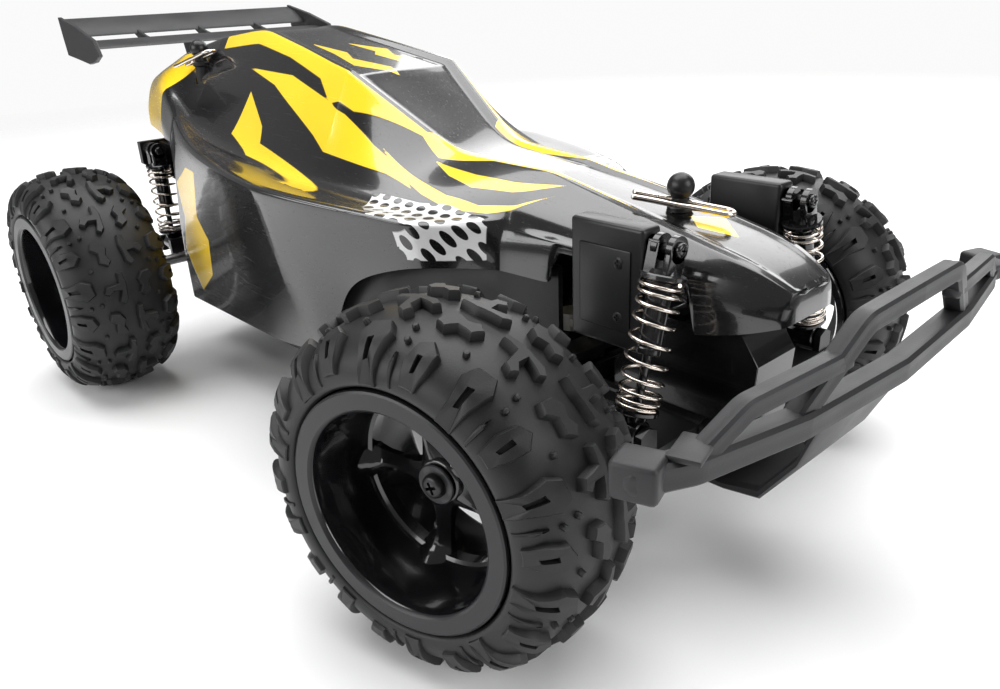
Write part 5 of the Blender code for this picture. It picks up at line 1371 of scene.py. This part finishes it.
END_PLATE = [(0.3, 148.2), (20, 144.2), (38, 139.2), (41.7, 132.9), (36, 130.4), (28.6, 129.4), (14, 131.2),
             (3.4, 132.4), (1.6, 140)]
RIB = [(3.4, 145.6), (8, 144.2), (14, 141.6), (22, 139.2), (35, 136.6), (35, 135.6), (24, 136.4), (15.4, 137.4),
       (9, 140.6), (4.4, 143.6)]
wing = [blade((38.2, 135.6), (17.4, 138.2), 1.5, WING_HALF - 1)]
wing.append(blade((15.6, 139.9), (0.8, 147.4), 1.2, WING_HALF - 1))
for side in (-1, 1):
    y0, y1 = sorted((side * WING_HALF, side * (WING_HALF - 1.8)))
    wing.append(plate(END_PLATE, y0, y1))
for y in (-WING_HALF / 2, 0, WING_HALF / 2):
    wing.append(plate(RIB, y - 0.8, y + 0.8))
for y in (-12, 12):
    wing.append(plate([(24, 137.2), (35, 136.2), (31, 130.8), (26.4, 129.4)], y - 1.4, y + 1.4))
finished("slotted_wing", joined(wing), NYLON, "chassis", ["rear_wing"], sharp=34)
print("wing span", round(WING_HALF * 2, 1), "mm")

# %% [markdown]
# ## Front shock towers
#
# The towers are hollow boxes with a bevelled top that carry the shocks' top bolts. Their edges are generously
# rounded, and a shallow panel on the outer face breaks up the plain side.

# %% Tower boxes
low, high = (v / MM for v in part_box("front_tower"))
towers = []
TOWER_X = (low.x, FRONT_AXLE_X + 30 - 3.25 - 1.2)
for side in (-1, 1):
    y0, y1 = sorted((side * 26.4, side * 33.4))
    shape = rounded_box((TOWER_X[0], y0, 68.2), (TOWER_X[1], y1, high.z - 0.2), 1.1, 3)
    towers.append(shape)
    panel = rounded_box((TOWER_X[0] + 3.4, side * 33.4 - 0.45, 73), (TOWER_X[1] - 3.4, side * 33.4 + 0.1, 94), 0.4, 2)
    towers.append(panel)
    for z in (76.5, 90.5):
        head = placed(screw_head(1.7, 0.9, 24), Matrix.Translation((TOWER_X[1] - 7, side * 33.2, z))
                      @ (Matrix.Identity(4) if side > 0 else Matrix.Rotation(math.pi, 4, "Z")))
        towers.append(head)
top_y, top_z = 30.0, 95.6
towers.append(rounded_box((TOWER_X[0] + 4, -top_y + 2, 71), (TOWER_X[1] - 9, top_y - 2, 80), 0.8, 2))
towers.append(rounded_box((TOWER_X[0] + 7, -9, 69), (TOWER_X[1] - 12, 9, 84), 0.8, 2))
for side in (-1, 1):
    boss = lathe([(-7, 0.0), (-7, 3.2), (-0.6, 3.2), (0, 2.6), (0, 1.3), (7.4, 1.3), (7.7, 1.0), (7.7, 0.0)], 28)
    towers.append(placed(boss, Matrix.Translation((TOWER_X[1], side * top_y, top_z))
                         @ Matrix.Rotation(-math.pi / 2, 4, "Z")))
finished("shock_towers", joined(towers), TOWER_NYLON, "chassis", ["front_tower"], sharp=34)
print("towers between", round(TOWER_X[0], 1), "and", round(TOWER_X[1], 1))

# %% [markdown]
# ## Body posts and clips
#
# Three posts poke up through the shell, each with a ball on top and a cross hole under it. A bent wire clip goes
# through the hole and keeps the shell on. The post is turned in one profile; the clip is a real piece of wire: a
# straight pin, a loop and a return leg that hugs the ball, with a short flattened tip.

# %% Posts, balls and wire clips
CLIP_TOWARDS = {"front": (0.86, 0.51, -0.17), "rear_left": (1, -0.1, 0.25), "rear_right": (1, 0.1, 0.25)}
BALL = 3.7
CLIP_LENGTH, CLIP_GAP, CLIP_WIRE = 28.0, 5.2, 0.75
for name, towards in CLIP_TOWARDS.items():
    low, high = (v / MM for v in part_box("body_post_" + name))
    x, y = (low.x + high.x) / 2, (low.y + high.y) / 2
    foot, ball_z = low.z, high.z - BALL
    profile = [(0.0, 0.0), (0.0, 4.3), (1.5, 4.3), (2.0, 3.9), (2.2, 2.8), (ball_z - foot - 7.0, 2.8),
               (ball_z - foot - 6.4, 3.5), (ball_z - foot - 5.4, 3.5), (ball_z - foot - 4.8, 2.5),
               (ball_z - foot - 2.9, 2.35)]
    for step in range(1, 9):
        angle = math.radians(-48 + (90 + 48) * step / 8)
        profile.append((ball_z - foot + BALL * math.sin(angle), max(0.0, BALL * math.cos(angle))))
    profile[-1] = (ball_z - foot + BALL, 0.0)
    post = placed(lathe(profile, 40), Matrix.Translation((x, y, foot)) @ Matrix.Rotation(math.pi / 2, 4, "X"))
    finished("turned_post_" + name, post, TOWER_NYLON, "chassis", ["body_post_" + name], sharp=34)

    along = Vector(towards).normalized()
    hole = Vector((x, y, ball_z - 3.9))
    aside = along.cross(Vector((0, 0, 1))).normalized() * (-1 if name == "rear_left" else 1)
    back, ahead = hole - along * CLIP_LENGTH * 0.42, hole + along * CLIP_LENGTH * 0.42
    route = [back, hole, ahead]
    for step in range(1, 12):
        angle = math.pi * step / 12
        route.append(ahead + along * math.sin(angle) * CLIP_GAP / 2 + aside * (1 - math.cos(angle)) * CLIP_GAP / 2)
    route += [ahead + aside * CLIP_GAP, hole + along * 3 + aside * (CLIP_GAP - 0.2), hole + aside * (CLIP_GAP + 0.3),
              back + along * 3 + aside * (CLIP_GAP + 0.1), back + aside * (CLIP_GAP + 0.5)]
    wire_clip = tube(route, CLIP_WIRE, 14)
    sleeve = tube([back - along * 0.1, back + along * 5.2], CLIP_WIRE * 1.5, 16, flatten=0.75)
    finished("wire_clip_" + name, joined([wire_clip, sleeve]), NICKEL, "body_clip_" + name, ["body_clip_" + name],
             sharp=50)
print("posts and clips:", len(CLIP_TOWARDS))

# %% [markdown]
# ## Finishes for the engineering parts that stay
#
# Parts whose shape is right stay as they are. Each gets the finish of its real material, and a Weld and a Bevel
# modifier soften its edges a little, because a moulded edge always catches a thin line of light.

# %% Finishes on the frame's own parts
KEPT_FINISHES = {
    "chassis_tub": TUB_BLACK, "battery_door": TUB_BLACK, "power_switch": TUB_BLACK, "front_bulkhead": GLOSS_BLACK,
    "rear_tower": TOWER_NYLON, "front_arm_left": TOWER_NYLON, "front_arm_right": TOWER_NYLON,
    "knuckle_left": TOWER_NYLON, "knuckle_right": TOWER_NYLON, "steering_bar": TOWER_NYLON,
    "steering_servo": TUB_BLACK, "servo_horn": ACETAL, "rear_carrier": TOWER_NYLON, "gearbox_case": TOWER_NYLON,
    "gearbox_cover": TOWER_NYLON, "axle_gear": ACETAL, "idler_gear": ACETAL, "motor_pinion": STEEL,
    "drive_motor": ZINC, "rear_axle": STEEL, "swing_pin": STEEL, "arm_pin_left": STEEL, "arm_pin_right": STEEL,
    "battery_pack": WRAP_GREEN, "receiver_board": BOARD,
}
for node, thing in frame["nodes"].items():
    if thing.hide_render:
        continue
    finish = KEPT_FINISHES.get(node, TOWER_NYLON)
    thing.data.materials.clear()
    thing.data.materials.append(finish)
    weld = thing.modifiers.new("weld", "WELD")
    weld.merge_threshold = 0.00002
    soften = thing.modifiers.new("soften", "BEVEL")
    soften.width = 0.00025
    soften.segments = 2
    soften.limit_method = "ANGLE"
    soften.angle_limit = math.radians(40)
    soften.use_clamp_overlap = True
print("parts kept from the frame:", sum(not thing.hide_render for thing in frame["nodes"].values()))

# %% [markdown]
# ## Floor, light and camera
#
# A plain pale floor and large soft lights make an even studio, with a few bright panels for the gloss to mirror.
# The camera stands close, low and to the front right, as a person would kneel to look at a toy.


# %% The studio
def build_floor():
    shape = bmesh.new()
    bmesh.ops.create_grid(shape, x_segments=1, y_segments=1, size=1.6)
    mesh = bpy.data.meshes.new("studio_floor")
    shape.to_mesh(mesh)
    shape.free()
    floor = bpy.data.objects.new("studio_floor", mesh)
    bpy.context.scene.collection.objects.link(floor)
    material, tree, shader, place = new_material("studio_paper")
    tone = wire(tree, "ShaderNodeTexNoise", [("Vector", place), ("Scale", 3.0)])
    paper = mixed(tree, tone.outputs["Fac"], (0.86, 0.86, 0.865), (0.9, 0.9, 0.9))
    tree.links.new(paper, shader.inputs["Base Color"])
    shader.inputs["Roughness"].default_value = 0.8
    away = wire(tree, "ShaderNodeVectorMath", [(0, place)], operation="LENGTH").outputs["Value"]
    tree.links.new(remap(tree, away, 0.45, 1.3, 1.0, 0.0), shader.inputs["Alpha"])
    mesh.materials.append(material)


def soft_light(name, at, size, power, aim=(0.02, 0.0, 0.06)):
    data = bpy.data.lights.new(name, "AREA")
    data.shape = "RECTANGLE"
    data.size, data.size_y = size
    data.energy = power
    light = bpy.data.objects.new(name, data)
    light.location = at
    light.rotation_mode = "QUATERNION"
    light.rotation_quaternion = (Vector(aim) - Vector(at)).to_track_quat("-Z", "Y")
    bpy.context.scene.collection.objects.link(light)
    return light


build_floor()
soft_light("overhead_panel", (-0.1, 0.1, 1.1), (1.5, 1.0), 21)
soft_light("left_panel", (-0.5, 1.1, 0.7), (1.2, 0.8), 9)
soft_light("right_panel", (-0.35, -1.2, 0.55), (1.2, 0.6), 10)
soft_light("front_panel", (1.25, 0.25, 0.6), (0.8, 0.7), 8)

world = bpy.data.worlds.new("studio_air")
world.use_nodes = True
air = world.node_tree
seen = wire(air, "ShaderNodeLightPath").outputs["Is Camera Ray"]
air.links.new(remap(air, seen, 0.0, 1.0, 0.24, 0.96), air.nodes["Background"].inputs["Strength"])
air.nodes["Background"].inputs["Color"].default_value = (1.0, 1.0, 1.0, 1)
bpy.context.scene.world = world
bpy.context.scene.view_settings.view_transform = "Standard"

CAMERA_AT = (0.24507, -0.18506, 0.15318)
CAMERA_TURN = 48.24  # degrees to the right of straight ahead along +Y
CAMERA_DOWN = 22.96
CAMERA_ROLL = -2.62
lens = bpy.data.cameras.new("view")
lens.lens = 30.53
lens.sensor_width = 36.0
lens.clip_start = 0.01
camera = bpy.data.objects.new("view", lens)
turn, down, roll = (math.radians(a) for a in (CAMERA_TURN, CAMERA_DOWN, CAMERA_ROLL))
backwards = Vector((math.sin(turn) * math.cos(down), -math.cos(turn) * math.cos(down), math.sin(down)))
across = (-backwards).cross(Vector((0, 0, 1))).normalized()
upwards = across.cross(-backwards)
across, upwards = (math.cos(roll) * across + math.sin(roll) * upwards,
                   math.cos(roll) * upwards - math.sin(roll) * across)
camera.matrix_world = (Matrix.Translation(CAMERA_AT)
                       @ Matrix((across, upwards, backwards)).transposed().to_4x4())
bpy.context.scene.collection.objects.link(camera)
bpy.context.scene.camera = camera
print("camera", round((camera.location).length, 3), "m from the middle of the floor under the car")
